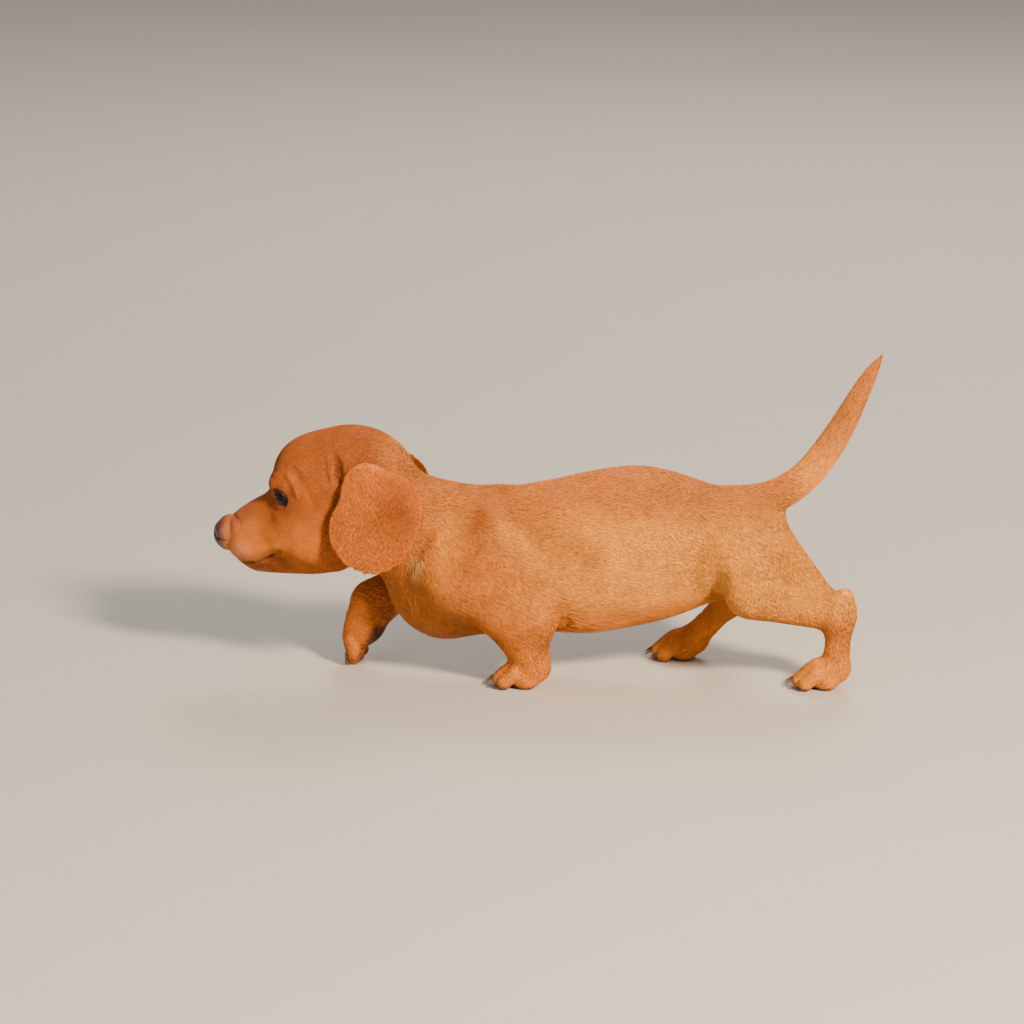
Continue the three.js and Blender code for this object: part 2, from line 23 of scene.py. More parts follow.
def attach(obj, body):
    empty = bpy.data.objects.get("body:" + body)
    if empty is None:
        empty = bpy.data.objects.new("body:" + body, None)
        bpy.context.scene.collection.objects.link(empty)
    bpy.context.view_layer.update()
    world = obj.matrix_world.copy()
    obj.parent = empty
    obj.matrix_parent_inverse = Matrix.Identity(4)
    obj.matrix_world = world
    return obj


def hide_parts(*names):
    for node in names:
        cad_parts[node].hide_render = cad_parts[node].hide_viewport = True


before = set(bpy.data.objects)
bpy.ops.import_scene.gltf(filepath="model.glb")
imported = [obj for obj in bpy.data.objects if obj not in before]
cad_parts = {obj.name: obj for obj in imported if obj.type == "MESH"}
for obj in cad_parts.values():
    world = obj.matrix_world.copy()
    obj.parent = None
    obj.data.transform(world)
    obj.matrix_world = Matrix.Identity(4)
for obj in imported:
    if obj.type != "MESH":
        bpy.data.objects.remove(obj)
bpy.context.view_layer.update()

log = logging.getLogger("puppy")

MM = 0.001  # metres in a millimetre
BAKE_MAP = "OFBake"
COAT_COLOUR = "CoatColour"  # the attribute that carries the markings on skin and coat
SEED = 20

Array = np.ndarray
Shape = Callable[[Array], Array]  # distances in mm from points to a surface, negative inside
Place = tuple[float, float, float]


class Side(Enum):
    """A side of the animal, with the sign of its Y."""

    LEFT = -1
    RIGHT = 1

    @property
    def word(self) -> str:
        """The side's name in the names of pieces."""
        return self.name.lower()


# Forms: the same eggs, rods and sweeps that the solids are made of


def cos_sin(degrees: float) -> tuple[float, float]:
    """The cosine and the sine of an angle in degrees."""
    return math.cos(math.radians(degrees)), math.sin(math.radians(degrees))


def folded(points: Array) -> Array:
    """Points brought to the animal's right side, where Y is positive."""
    return points * (1, 0, 1) + np.abs(points) * (0, 1, 0)


def egg(centre: Place, radii: Place, tilt: float = 0.0) -> Shape:
    """An ellipsoid.

    Args:
        centre: Its middle.
        radii: Its half sizes along X, Y and Z.
        tilt: Degrees that its front is lowered.

    Returns:
        The distance to its surface.
    """
    a, b, c = radii
    cos, sin = cos_sin(tilt)

    def distance(points: Array) -> Array:
        """Distances of points to the ellipsoid."""
        dx, y, dz = (points - centre).T
        x, z = dx * cos + dz * sin, dz * cos - dx * sin
        near = np.sqrt((x / a) ** 2 + (y / b) ** 2 + (z / c) ** 2)
        slope = np.sqrt((x / a**2) ** 2 + (y / b**2) ** 2 + (z / c**2) ** 2)
        return np.where(slope < 1e-9, -min(radii), near * (near - 1) / np.maximum(slope, 1e-9))

    return distance


def limb(start: Place, end: Place, start_radius: float, end_radius: float) -> Shape:
    """A rod with round ends and an even taper.

    Args:
        start: One end of its middle line.
        end: The other end.
        start_radius: Radius at the start.
        end_radius: Radius at the end.

    Returns:
        The distance to its surface.
    """
    first, run = np.array(start), np.subtract(end, start)

    def distance(points: Array) -> Array:
        """Distances of points to the rod."""
        away = points - first
        share = np.clip(away @ run / (run @ run), 0, 1)
        reach = np.linalg.norm(away - share[:, None] * run, axis=1)
        return reach - start_radius - (end_radius - start_radius) * share

    return distance


def along(stations: Array, x: Array) -> Array:
    """Values of a smooth curve through stations.

    Args:
        stations: Rows of x and the values there.
        x: Where the values are wanted.

    Returns:
        A row of values for each x.
    """
    knots, values = stations[:, 0], stations[:, 1:]
    last = len(knots) - 1
    number = np.arange(last + 1)
    before, after = np.maximum(number - 1, 0), np.minimum(number + 1, last)
    slopes = (values[after] - values[before]) / (knots[after] - knots[before])[:, None]
    at = np.clip(x, knots[0], knots[-1])
    i = np.clip(np.searchsorted(knots, at, side="right") - 1, 0, last - 1)
    span = (knots[i + 1] - knots[i])[:, None]
    t = (at - knots[i])[:, None] / span
    rise = values[i + 1] - values[i]
    m0, m1 = slopes[i] * span, slopes[i + 1] * span
    return values[i] + t * (m0 + t * (3 * rise - 2 * m0 - m1 + t * (m0 + m1 - 2 * rise)))


def sweep(*stations: Sequence[float]) -> Shape:
    """A body along X of oval sections.

    Args:
        stations: x, middle height, half height and half width of each section.

    Returns:
        The distance to its surface.
    """
    table = np.array(stations, float)
    first, last = table[0, 0], table[-1, 0]

    def distance(points: Array) -> Array:
        """Distances of points to the body."""
        x, y, z = points.T
        middle, tall, wide = along(table, x).T
        past = np.maximum(np.maximum(first - x, x - last), 0)
        small = np.minimum(tall, wide)
        return (np.sqrt(((z - middle) / tall) ** 2 + (y / wide) ** 2 + (past / small) ** 2) - 1) * small

    return distance


def blend(a: Array, b: Array, soft: float) -> Array:
    """Two distances run into each other over a fillet of about the soft width."""
    h = np.maximum(soft - np.abs(a - b), 0) / soft
    return np.minimum(a, b) - h * h * soft / 4


def built_up(parts: Sequence[tuple[float, Shape]]) -> Shape:
    """Several shapes as one soft body.

    Args:
        parts: Each shape with the width of the fillet that joins it to those before it.

    Returns:
        The distance to the whole.
    """

    def distance(points: Array) -> Array:
        """Distances of points to the whole."""
        near = parts[0][1](points)
        for soft, part in parts[1:]:
            near = blend(near, part(points), soft)
        return near

    return distance


def join(soft: float, *shapes: Shape) -> Shape:
    """Several shapes as one soft body with fillets of one width."""
    return built_up([(soft, shape) for shape in shapes])


def nearest(shapes: Sequence[Shape], points: Array) -> Array:
    """Distances of points to the nearest of several shapes."""
    return np.min([shape(points) for shape in shapes], axis=0)


def mirrored(shape: Shape) -> Shape:
    """The same shape on both sides of the middle plane."""
    return lambda points: shape(folded(points))


def smooth(low: float, high: float, values: Array) -> Array:
    """A share that climbs softly from 0 at low to 1 at high."""
    t = np.clip((values - low) / (high - low), 0, 1)
    return t * t * (3 - 2 * t)


def ball(points: Array, centre: Sequence[float], reach: float | Place) -> Array:
    """A share that is 1 at a centre and fades out over a reach."""
    return np.exp(-(((points - centre) / np.asarray(reach)) ** 2).sum(1))


def slope_of(shape: Shape, points: Array, here: Array) -> Array:
    """The slope of a shape's distance at points where its values are known."""
    step = 0.05
    return np.stack([(shape(points + step * axis) - here) / step for axis in np.eye(3)], 1)


def pulled(shape: Shape, points: Array, level: Array | float, most: float, turns: int = 4) -> Array:
    """Points moved along the slope of a shape until their distance is a level.

    Args:
        shape: The shape.
        points: Where the points start.
        level: The distance that each should have.
        most: How far a point may move along an axis.
        turns: Number of steps.

    Returns:
        The moved points.
    """
    moved = points
    for _ in range(turns):
        here = shape(moved)
        slope = slope_of(shape, moved, here)
        steep = np.maximum((slope**2).sum(1), 0.1)
        moved = moved - slope * ((here - level) / steep)[:, None]
        moved = np.clip(moved, points - most, points + most)
    return moved


@dataclass(frozen=True)
class HeadTurn:
    """The turn that carries the straight head to its pose.

    Attributes:
        angle: Degrees that the nose swings towards +Y.
        pivot: X and Y of the upright line that it turns about.
    """

    angle: float = 9.0
    pivot: tuple[float, float] = (-100.0, 0.0)

    def matrix(self) -> Array:
        """The 3 by 3 matrix from the straight frame to the posed one."""
        cos, sin = cos_sin(self.angle)
        return np.array([[cos, sin, 0], [-sin, cos, 0], [0, 0, 1]])

    def posed(self, points: Array) -> Array:
        """Points of the straight head where the posed head has them."""
        middle = np.array([*self.pivot, 0])
        return (np.asarray(points) - middle) @ self.matrix().T + middle

    def straight(self, points: Array) -> Array:
        """Points of the posed head in the straight frame."""
        middle = np.array([*self.pivot, 0])
        return (np.asarray(points) - middle) @ self.matrix() + middle


TURN = HeadTurn()


@dataclass(frozen=True)
class Paw:
    """One foot: a palm and four toes about a ball.

    Attributes:
        ball: The middle of the foot's ball.
        pitch: Degrees that the toes point down.
        yaw: Degrees that the toes point aside.
        roll: Degrees that it rolls about its own length.
        claw_lift: How much higher the claws sit on the toes.
        toe_radius: Radius of a toe.
        claw_length: From a claw's root to its tip.
        SLOTS: Each toe's place across the foot, in widths of a toe from its middle.
    """

    ball: Place
    pitch: float = 0.0
    yaw: float = 0.0
    roll: float = 0.0
    claw_lift: float = 0.0
    toe_radius: float = 4.7
    claw_length: float = 8.0
    SLOTS = (-1.5, -0.5, 0.5, 1.5)

    def matrix(self) -> Matrix:
        """The placing of the foot's own frame, where its toes point along +X."""
        turn = Matrix.Rotation(math.pi + math.radians(self.yaw), 4, "Z")
        turn @= Matrix.Rotation(math.radians(self.pitch), 4, "Y")
        turn @= Matrix.Rotation(math.radians(self.roll), 4, "X")
        return Matrix.Translation(self.ball) @ turn

    def place(self, x: float, y: float, z: float) -> Place:
        """A point of the foot's own frame."""
        return tuple(self.matrix() @ Vector((x, y, z)))

    def local(self, points: Array) -> Array:
        """Points seen in the foot's own frame."""
        matrix = np.array(self.matrix())
        return (points - matrix[:3, 3]) @ matrix[:3, :3]

    def reach(self, slot: float) -> float:
        """How much further a toe reaches than the outer ones."""
        return 3.6 if abs(slot) < 1 else 0.0

    def claw_ends(self, slot: float) -> tuple[Place, Place]:
        """Root and tip of the claw of one toe."""
        start = 12.5 + self.reach(slot)
        root = self.place(start, slot * 5.8, self.claw_lift - 2.6)
        return root, self.place(start + self.claw_length, slot * 6, self.claw_lift - 6.2)

    def shape(self) -> Shape:
        """The distance to the foot."""
        palm = join(
            4,
            limb(self.place(-7, 0, 3), self.place(3, 0, 1), 9.2, 9.4),
            limb(self.place(-1, -4.2, -3.2), self.place(-1, 4.2, -3.2), 7.2, 7.2),
        )
        toes = [
            limb(
                self.place(5.5 + self.reach(slot), slot * 5.2, 1.6),
                self.place(12 + self.reach(slot), slot * 5.7, -4.2),
                self.toe_radius,
                self.toe_radius,
            )
            for slot in self.SLOTS
        ]
        return join(1.8, palm, *toes)


PAWS = {
    "forepaw_left": Paw((-15, -31.5, 9), yaw=-6),
    "forepaw_right": Paw((-118.5, 23, 20.4), pitch=66, roll=14, claw_lift=3),
    "hindpaw_left": Paw((170, -34, 9)),
    "hindpaw_right": Paw((85, 34, 9)),
}


@dataclass(frozen=True)
class Tail:
    """The tail, in the middle plane: x, height and radius along it."""

    stations: tuple[Place, ...] = (
        (122, 107, 12),
        (142, 115, 10.5),
        (158.3, 126, 9.8),
        (171.8, 143, 9.2),
        (182.8, 161.5, 8),
        (192, 180, 6.2),
        (199, 193, 4.2),
        (205, 203, 1),
    )

    def shape(self) -> Shape:
        """The distance to the tail, as many short rods along its curve."""
        knots = np.column_stack([np.arange(len(self.stations)), self.stations])
        line = along(knots, np.linspace(0, len(knots) - 1, 4 * len(knots) - 3))
        rods = [limb((x0, 0, z0), (x1, 0, z1), r0, r1) for (x0, z0, r0), (x1, z1, r1) in zip(line, line[1:])]
        return lambda points: nearest(rods, points)


@dataclass(frozen=True)
class Ears:
    """Two leaves of three lobes, each on a bent sheet at the side of the skull.

    Attributes:
        lobes: x, height and radius of each lobe.
        soft: Width of the fillets between the lobes.
        root: How far from the middle the sheet starts.
        root_height: The height that it starts from.
        fall: How far down it comes to hang.
        hangs: How far from the middle the left and the right sheet hang.
        forwards: How far the left and the right ear are carried forward.
        cup: How much a sheet curves in before and behind its middle.
        cup_middle: x of that middle.
        thickness: Of the leaf, coat and all.
        rim: Radius of the leaf's rounded edge.
        origin: x and height that the hair runs away from.
    """

    lobes: tuple[Place, ...] = ((-103.5, 99.5, 27), (-92, 114, 22.5), (-107, 126.5, 15.5))
    soft: float = 8.0
    root: float = 26.0
    root_height: float = 148.0
    fall: float = 34.0
    hangs: tuple[float, float] = (37.0, 39.0)
    forwards: tuple[float, float] = (0.0, 9.0)
    cup: float = 0.0015
    cup_middle: float = -96.0
    thickness: float = 3.0
    rim: float = 1.3
    origin: tuple[float, float] = (-100.0, 150.0)

    def outline(self, x: Array, z: Array) -> Array:
        """Distance in the ear's own plane to its outline."""
        near = [np.hypot(x - lx, z - lz) - radius for lx, lz, radius in self.lobes]
        return blend(blend(near[0], near[1], self.soft), near[2], self.soft)

    def leaf(self, side: Side) -> Shape:
        """One ear of the straight head.

        Args:
            side: Which ear.

        Returns:
            The distance to it.
        """
        right = side is Side.RIGHT
        hang, forward = self.hangs[right], self.forwards[right]

        def distance(points: Array) -> Array:
            """Distances of points to the ear."""
            x, z = points[:, 0] + forward, points[:, 2]
            drop = np.clip((self.root_height - z) / self.fall, 0, 1)
            sheet = self.root + (hang - self.root) * np.sin(drop * np.pi / 2)
            sheet = sheet - self.cup * (x - self.cup_middle) ** 2
            across = np.abs(side.value * points[:, 1] - sheet) - self.thickness / 2 + self.rim
            rim = self.outline(x, z) + self.rim
            outside = np.hypot(np.maximum(across, 0), np.maximum(rim, 0))
            return outside + np.minimum(np.maximum(across, rim), 0) - self.rim

        return distance


@dataclass(frozen=True)
class Form:
    """The whole flesh of the animal, as the solids have it but with no cuts."""

    ears: Ears = Ears()
    tail: Tail = Tail()

    def head(self) -> Shape:
        """The distance to the straight head without its ears."""
        skull = join(
            12,
            egg((-122, 0, 127), (39, 30.5, 31)),
            egg((-149.5, 0, 125), (22.5, 22, 24)),
            mirrored(egg((-141, 17.5, 98), (26, 13, 24), 10)),
        )
        snout = sweep(
            (-199, 86.3, 11.8, 9.4),
            (-192, 86.5, 17.4, 14),
            (-179, 88.6, 23.2, 16.6),
            (-164, 90, 26, 18.5),
            (-148, 90, 26, 20),
        )
        lips = mirrored(egg((-182, 8.5, 80), (15, 6.5, 7.5), 8))
        jaw = join(8, limb((-134, 0, 79.5), (-181, 0, 73.2), 15.5, 10), lips)
        brow = mirrored(egg((-164.5, 12.5, 122.5), (7.5, 7, 6.5)))
        tip = egg((-201.8, 0, 87), (8.2, 8.6, 9.4), -25)
        return built_up([(0, snout), (7, jaw), (12, skull), (7, brow), (4, tip)])

    def trunk(self) -> list[tuple[float, Shape]]:
        """The parts of the trunk and the neck, each with the width of its fillet."""
        blade = limb((-38, 21, 100), (-60, 25, 66), 13, 16)
        neck = join(14, limb((-44, 0, 82), (-98, 0, 106), 34, 27), limb((-62, 0, 70), (-104, 0, 89), 28, 21))
        barrel = sweep(
            (-58, 71, 43, 30),
            (-30, 73, 46, 35.5),
            (0, 76.5, 47.5, 37.5),
            (28, 80, 50, 40),
            (54, 83, 50, 41.5),
            (76, 84, 45.5, 38.5),
            (98, 84.5, 37.5, 34),
            (120, 84, 32, 28),
        )
        return [
            (1, barrel),
            (10, egg((118, 0, 86.5), (28, 27, 29))),
            (12, egg((-64, 0, 61), (36, 29, 35))),
            (12, mirrored(join(8, blade, egg((-34, 26, 72), (24, 13, 28))))),
            (12, neck),
        ]

    def legs(self) -> list[Shape]:
        """The four legs as muscles and bones from joint to joint."""
        return [
            join(
                7,
                limb((-56, -27, 62), (-8, -33, 43), 17, 15),
                limb((-15, -34, 41), (-10, -31.5, 16), 15, 10.5),
                limb((-29, -31, 43), (-14, -31.5, 22), 13.5, 10.5),
            ),
            join(
                7,
                limb((-56, 26, 64), (-82, 28, 55), 17, 14),
                limb((-82, 28, 55), (-110, 24, 39), 14, 13),
                limb((-110, 24, 39), (-114, 23.5, 26), 13, 12.3),
            ),
            join(
                8,
                limb((117, -18, 92), (127, -31, 64), 25, 17),
                limb((132, -19, 92), (163, -31, 60), 16.5, 11),
                limb((124, -33, 59), (175, -33, 47), 15, 11),
                limb((182.5, -33, 59), (179.5, -33, 46), 5.2, 8),
                limb((179.5, -33, 48), (177, -34, 14), 8.5, 8.5),
            ),
            join(
                8,
                limb((117, 18, 90), (99, 32, 70), 25, 17),
                limb((130, 19, 88), (112, 31, 54), 16, 9.5),
                limb((98, 33, 68), (117, 33, 41), 14, 9),
                limb((121, 33, 46), (116, 33, 38), 5.2, 8),
                limb((117, 33, 40), (92, 34, 14), 8.5, 8.5),
            ),
        ]

    def body(self) -> Shape:
        """The distance to all flesh but the ears."""
        head = self.head()
        parts = [*self.trunk(), (10, lambda p: head(TURN.straight(p))), (8, self.tail.shape())]
        parts += [(10, leg) for leg in self.legs()]
        parts += [(4, paw.shape()) for paw in PAWS.values()]
        return built_up(parts)

    def both_ears(self) -> Shape:
        """The distance to the nearer ear of the posed head."""
        left, right = self.ears.leaf(Side.LEFT), self.ears.leaf(Side.RIGHT)

        def distance(points: Array) -> Array:
            """Distances of points to the ears."""
            straight = TURN.straight(points)
            return np.minimum(left(straight), right(straight))

        return distance

    def whole(self) -> Shape:
        """The distance to all flesh, ears and all."""
        body, ears = self.body(), self.both_ears()
        return lambda points: blend(body(points), ears(points), 2.5)


# Meshes and materials


def places_of(mesh: bpy.types.Mesh) -> Array:
    """A mesh's vertices in millimetres."""
    flat = np.empty(len(mesh.vertices) * 3)
    mesh.vertices.foreach_get("co", flat)
    return flat.reshape(-1, 3) / MM


def move_to(mesh: bpy.types.Mesh, places: Array) -> None:
    """Sets a mesh's vertices from millimetres."""
    mesh.vertices.foreach_set("co", (places * MM).ravel())
    mesh.update()


def normals_of(mesh: bpy.types.Mesh) -> Array:
    """The normal at each vertex of a mesh."""
    flat = np.empty(len(mesh.vertices) * 3)
    mesh.vertex_normals.foreach_get("vector", flat)
    return flat.reshape(-1, 3)


def edges_of(mesh: bpy.types.Mesh) -> Array:
    """The vertex pairs of a mesh's edges."""
    flat = np.empty(len(mesh.edges) * 2, np.int64)
    mesh.edges.foreach_get("vertices", flat)
    return flat.reshape(-1, 2)


def eased(places: Array, edges: Array, share: float) -> Array:
    """Places moved towards the middle of their neighbours.

    Args:
        places: The places.
        edges: Pairs of neighbours.
        share: How much of the way they move.

    Returns:
        The moved places.
    """
    count = np.bincount(edges.ravel(), minlength=len(places))
    total = np.stack(
        [
            np.bincount(edges[:, 0], places[edges[:, 1], axis], len(places))
            + np.bincount(edges[:, 1], places[edges[:, 0], axis], len(places))
            for axis in range(3)
        ],
        1,
    )
    return places + share * (total / np.maximum(count, 1)[:, None] - places)


def piece_of(name: str, mesh: bpy.types.Mesh) -> bpy.types.Object:
    """A mesh as an object of the scene."""
    piece = bpy.data.objects.new(name, mesh)
    bpy.context.scene.collection.objects.link(piece)
    return piece


def mesh_from(name: str, bm: bmesh.types.BMesh) -> bpy.types.Object:
    """A finished bmesh as a smooth-shaded object.

    Args:
        name: The object's name.
        bm: The bmesh, in millimetres; it is freed.

    Returns:
        The object.
    """
    bmesh.ops.recalc_face_normals(bm, faces=bm.faces)
    bmesh.ops.scale(bm, vec=(MM, MM, MM), verts=bm.verts)
    mesh = bpy.data.meshes.new(name)
    bm.to_mesh(mesh)
    bm.free()
    mesh.shade_smooth()
    return piece_of(name, mesh)


def add_tube(bm: bmesh.types.BMesh, line: Array, radii: Array, sides: int, closed: bool = False) -> None:
    """Adds a tube along a line.

    Args:
        bm: The bmesh that it is added to.
        line: Points of its middle line.
        radii: Its radius at each point.
        sides: Number of its faces around.
        closed: Whether it runs back into itself; if not, its ends are capped.
    """
    ahead = np.roll(line, -1, 0) - np.roll(line, 1, 0)
    if not closed:
        ahead[0], ahead[-1] = line[1] - line[0], line[-1] - line[-2]
    ahead /= np.linalg.norm(ahead, axis=1, keepdims=True)
    across = np.cross(ahead, (0.3, 0.1, 0.95))
    across /= np.linalg.norm(across, axis=1, keepdims=True)
    up = np.cross(across, ahead)
    turn = np.linspace(0, 2 * np.pi, sides, endpoint=False)[None, :, None]
    ring = np.cos(turn) * across[:, None] + np.sin(turn) * up[:, None]
    places = line[:, None] + radii[:, None, None] * ring
    verts = [[bm.verts.new(place) for place in row] for row in places]
    pairs = list(zip(verts, verts[1:]))
    if closed:
        pairs.append((verts[-1], verts[0]))
    else:
        bm.faces.new(verts[0][::-1])
        bm.faces.new(verts[-1])
    for first, second in pairs:
        for i in range(sides):
            j = (i + 1) % sides
            bm.faces.new((first[i], first[j], second[j], second[i]))


def paint(mesh: bpy.types.Mesh, colours: Array) -> None:
    """Stores a linear colour at each vertex of a mesh."""
    full = np.ones((len(mesh.vertices), 4), np.float32)
    full[:, :3] = colours
    layer = mesh.color_attributes.new(COAT_COLOUR, "FLOAT_COLOR", "POINT")
    layer.data.foreach_set("color", full.ravel())


def hand_over(piece: bpy.types.Object, slot: str, *nodes: str) -> None:
    """Ties a finished piece to the frame.

    Args:
        piece: The piece.
        slot: A material slot of the record; not used.
        nodes: The nodes that it stands for.
    """
    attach(piece, "root")
    if nodes:
        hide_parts(*nodes)
    log.info("%s: %d faces", piece.name, len(piece.data.polygons))


def linear(code: str) -> tuple[float, float, float]:
    """A linear colour from an sRGB hex value."""
    parts = [int(code[i : i + 2], 16) / 255 for i in (1, 3, 5)]
    return tuple(v / 12.92 if v <= 0.04045 else ((v + 0.055) / 1.055) ** 2.4 for v in parts)


def add_node(
    tree: bpy.types.NodeTree, kind: str, settings: dict | None = None, inputs: dict | None = None
) -> bpy.types.Node:
    """Adds a node.

    Args:
        tree: The node tree.
        kind: The node's type.
        settings: Its properties by name.
        inputs: Its inputs by name or number, each a value or another node's output.

    Returns:
        The node.
    """
    made = tree.nodes.new(kind)
    for name, value in (settings or {}).items():
        setattr(made, name, value)
    for name, value in (inputs or {}).items():
        if isinstance(value, bpy.types.NodeSocket):
            tree.links.new(value, made.inputs[name])
        else:
            made.inputs[name].default_value = value
    return made


def painted(tree: bpy.types.NodeTree) -> bpy.types.NodeSocket:
    """The colour that is stored on the mesh."""
    return add_node(tree, "ShaderNodeAttribute", {"attribute_name": COAT_COLOUR}).outputs["Color"]


@dataclass(frozen=True)
class Patches:
    """Soft patches that lighten and darken the colour stored on the mesh.

    Attributes:
        size: Their size in mm.
        detail: How many finer layers they have.
        low: Brightness of the darkest.
        high: Brightness of the lightest.
    """

    size: float
    detail: float
    low: float
    high: float

    def colour(self, tree: bpy.types.NodeTree, place: bpy.types.NodeSocket) -> bpy.types.NodeSocket:
        """Puts the patches into the stored colour.

        Args:
            tree: The node tree.
            place: The places on the object.

        Returns:
            The colour.
        """
        scale = 1 / (self.size * MM)
        noise = add_node(
            tree, "ShaderNodeTexNoise", inputs={"Vector": place, "Scale": scale, "Detail": self.detail}
        )
        gain = {"Value": noise.outputs["Fac"], "From Min": 0.3, "From Max": 0.7}
        gain |= {"To Min": self.low, "To Max": self.high}
        shade = add_node(tree, "ShaderNodeMapRange", inputs=gain).outputs["Result"]
        mixed = {0: painted(tree), "Scale": shade}
        return add_node(tree, "ShaderNodeVectorMath", {"operation": "SCALE"}, mixed).outputs["Vector"]


@dataclass(frozen=True)
class Finish(ABC):
    """A material whose shader is fed by what its kind gives."""

    name: str

    @abstractmethod
    def surface(self, tree: bpy.types.NodeTree, place: bpy.types.NodeSocket) -> dict:
        """The values and links of the shader's inputs.

        Args:
            tree: The node tree, for nodes of its own.
            place: The places on the object.

        Returns:
            What each input takes, by its name.
        """

    def material(self) -> bpy.types.Material:
        """Makes the material."""
        material = bpy.data.materials.new(self.name)
        material.use_nodes = True
        tree = material.node_tree
        tree.nodes.clear()
        place = add_node(tree, "ShaderNodeTexCoord").outputs["Object"]
        shader = add_node(tree, "ShaderNodeBsdfPrincipled", inputs=self.surface(tree, place))
        add_node(tree, "ShaderNodeOutputMaterial", inputs={"Surface": shader.outputs["BSDF"]})
        return material


@dataclass(frozen=True)
class HairFinish(Finish):
    """Short smooth hair: satin, with a soft bright edge where it is seen against the light.

    Attributes:
        patches: The soft patches of lighter and darker hair.
        strand: Width in mm of a strand; one real hair, 0.05 mm, is too fine to show.
        stretch: Scale of the strands along X, Y and Z, less where they run on.
        relief: Strength of the bump of the strands.
        depth: Depth in mm of that bump.
        roughness: How dull the hair is.
        sheen: Colour of its bright edge.
    """

    name: str = "smooth_red_hair"
    patches: Patches = Patches(9.0, 3.0, 0.86, 1.12)
    strand: float = 0.5
    stretch: Place = (0.12, 1.0, 0.6)
    relief: float = 0.25
    depth: float = 0.3
    roughness: float = 0.5
    sheen: tuple[float, float, float, float] = (1.0, 0.72, 0.45, 1.0)

    def surface(self, tree: bpy.types.NodeTree, place: bpy.types.NodeSocket) -> dict:
        """The hair's colour with strands in relief, a low gloss and a warm sheen."""
        lengths = add_node(tree, "ShaderNodeMapping", inputs={"Vector": place, "Scale": self.stretch})
        lines = {"Vector": lengths.outputs["Vector"], "Scale": 1 / (self.strand * MM), "Detail": 2.0}
        strands = add_node(tree, "ShaderNodeTexNoise", inputs=lines).outputs["Fac"]
        raised = {"Height": strands, "Strength": self.relief, "Distance": self.depth * MM}
        return {
            "Base Color": self.patches.colour(tree, place),
            "Roughness": self.roughness,
            "Specular IOR Level": 0.14,
            "Sheen Weight": 0.1,
            "Sheen Roughness": 0.4,
            "Sheen Tint": self.sheen,
            "Normal": add_node(tree, "ShaderNodeBump", inputs=raised).outputs["Normal"],
        }


@dataclass(frozen=True)
class NoseFinish(Finish):
    """Bare nose leather: pebbled, slightly moist skin, dark in front and pinkish brown behind.

    Attributes:
        front: Colour of the front, also laid as painted shade in the nostrils and grooves.
        back: Colour of the wings.
        pebble: Width in mm of a pebble of the skin.
        depth: Depth in mm of the grooves between pebbles.
    """

    name: str = "moist_nose_leather"
    front: str = "#2A1A18"
    back: str = "#7A422C"
    pebble: float = 0.55
    depth: float = 0.12

    def surface(self, tree: bpy.types.NodeTree, place: bpy.types.NodeSocket) -> dict:
        """The stored colour, pebbles in relief, and a thin moist coat."""
        cells = {"Vector": place, "Scale": 1 / (self.pebble * MM)}
        pebbles = add_node(tree, "ShaderNodeTexVoronoi", inputs=cells).outputs["Distance"]
        raised = {"Height": pebbles, "Strength": 0.5, "Distance": self.depth * MM}
        return {
            "Base Color": painted(tree),
            "Roughness": 0.45,
            "Coat Weight": 0.2,
            "Coat Roughness": 0.3,
            "Normal": add_node(tree, "ShaderNodeBump", {"invert": True}, raised).outputs["Normal"],
        }


@dataclass(frozen=True)
class EyeFinish(Finish):
    """A wet eye: dark slate iris and pupil under a clear tear film, white only at its rim.

    Attributes:
        fibres: The fibres of the iris.
    """

    name: str = "wet_slate_eye"
    fibres: Patches = Patches(0.7, 4.0, 0.7, 1.3)

    def surface(self, tree: bpy.types.NodeTree, place: bpy.types.NodeSocket) -> dict:
        """The stored colour with fibres, and the gloss of the tear film alone."""
        return {
            "Base Color": self.fibres.colour(tree, place),
            "Roughness": 0.3,
            "Specular IOR Level": 0.0,
            "Coat Weight": 0.6,
            "Coat IOR": 1.36,
            "Coat Roughness": 0.03,
        }


@dataclass(frozen=True)
class GrainFinish(Finish):
    """A smooth stuff whose colour wanders between two tones, such as horn or painted board.

    Attributes:
        dark: Colour where it is dark.
        light: Colour where it is light.
        grain: Size in mm of its streaks or clouds.
        detail: How many finer layers they have.
        turns: Where between them the dark tone ends and the light one starts.
        roughness: How dull it is.
        ior: Its index of refraction.
    """

    name: str = "claw_horn"
    dark: str = "#3A261C"
    light: str = "#7C5A44"
    grain: float = 2.5
    detail: float = 3.0
    turns: tuple[float, float] = (0.35, 0.68)
    roughness: float = 0.35
    ior: float = 1.55

    def surface(self, tree: bpy.types.NodeTree, place: bpy.types.NodeSocket) -> dict:
        """The wandering colour with an even gloss."""
        clouds = {"Vector": place, "Scale": 1 / (self.grain * MM), "Detail": self.detail}
        noise = add_node(tree, "ShaderNodeTexNoise", inputs=clouds).outputs["Fac"]
        tones = add_node(tree, "ShaderNodeValToRGB", inputs={"Fac": noise})
        for element, turn, code in zip(tones.color_ramp.elements, self.turns, (self.dark, self.light)):
            element.position, element.color = turn, (*linear(code), 1.0)
        return {"Base Color": tones.outputs["Color"], "Roughness": self.roughness, "IOR": self.ior}


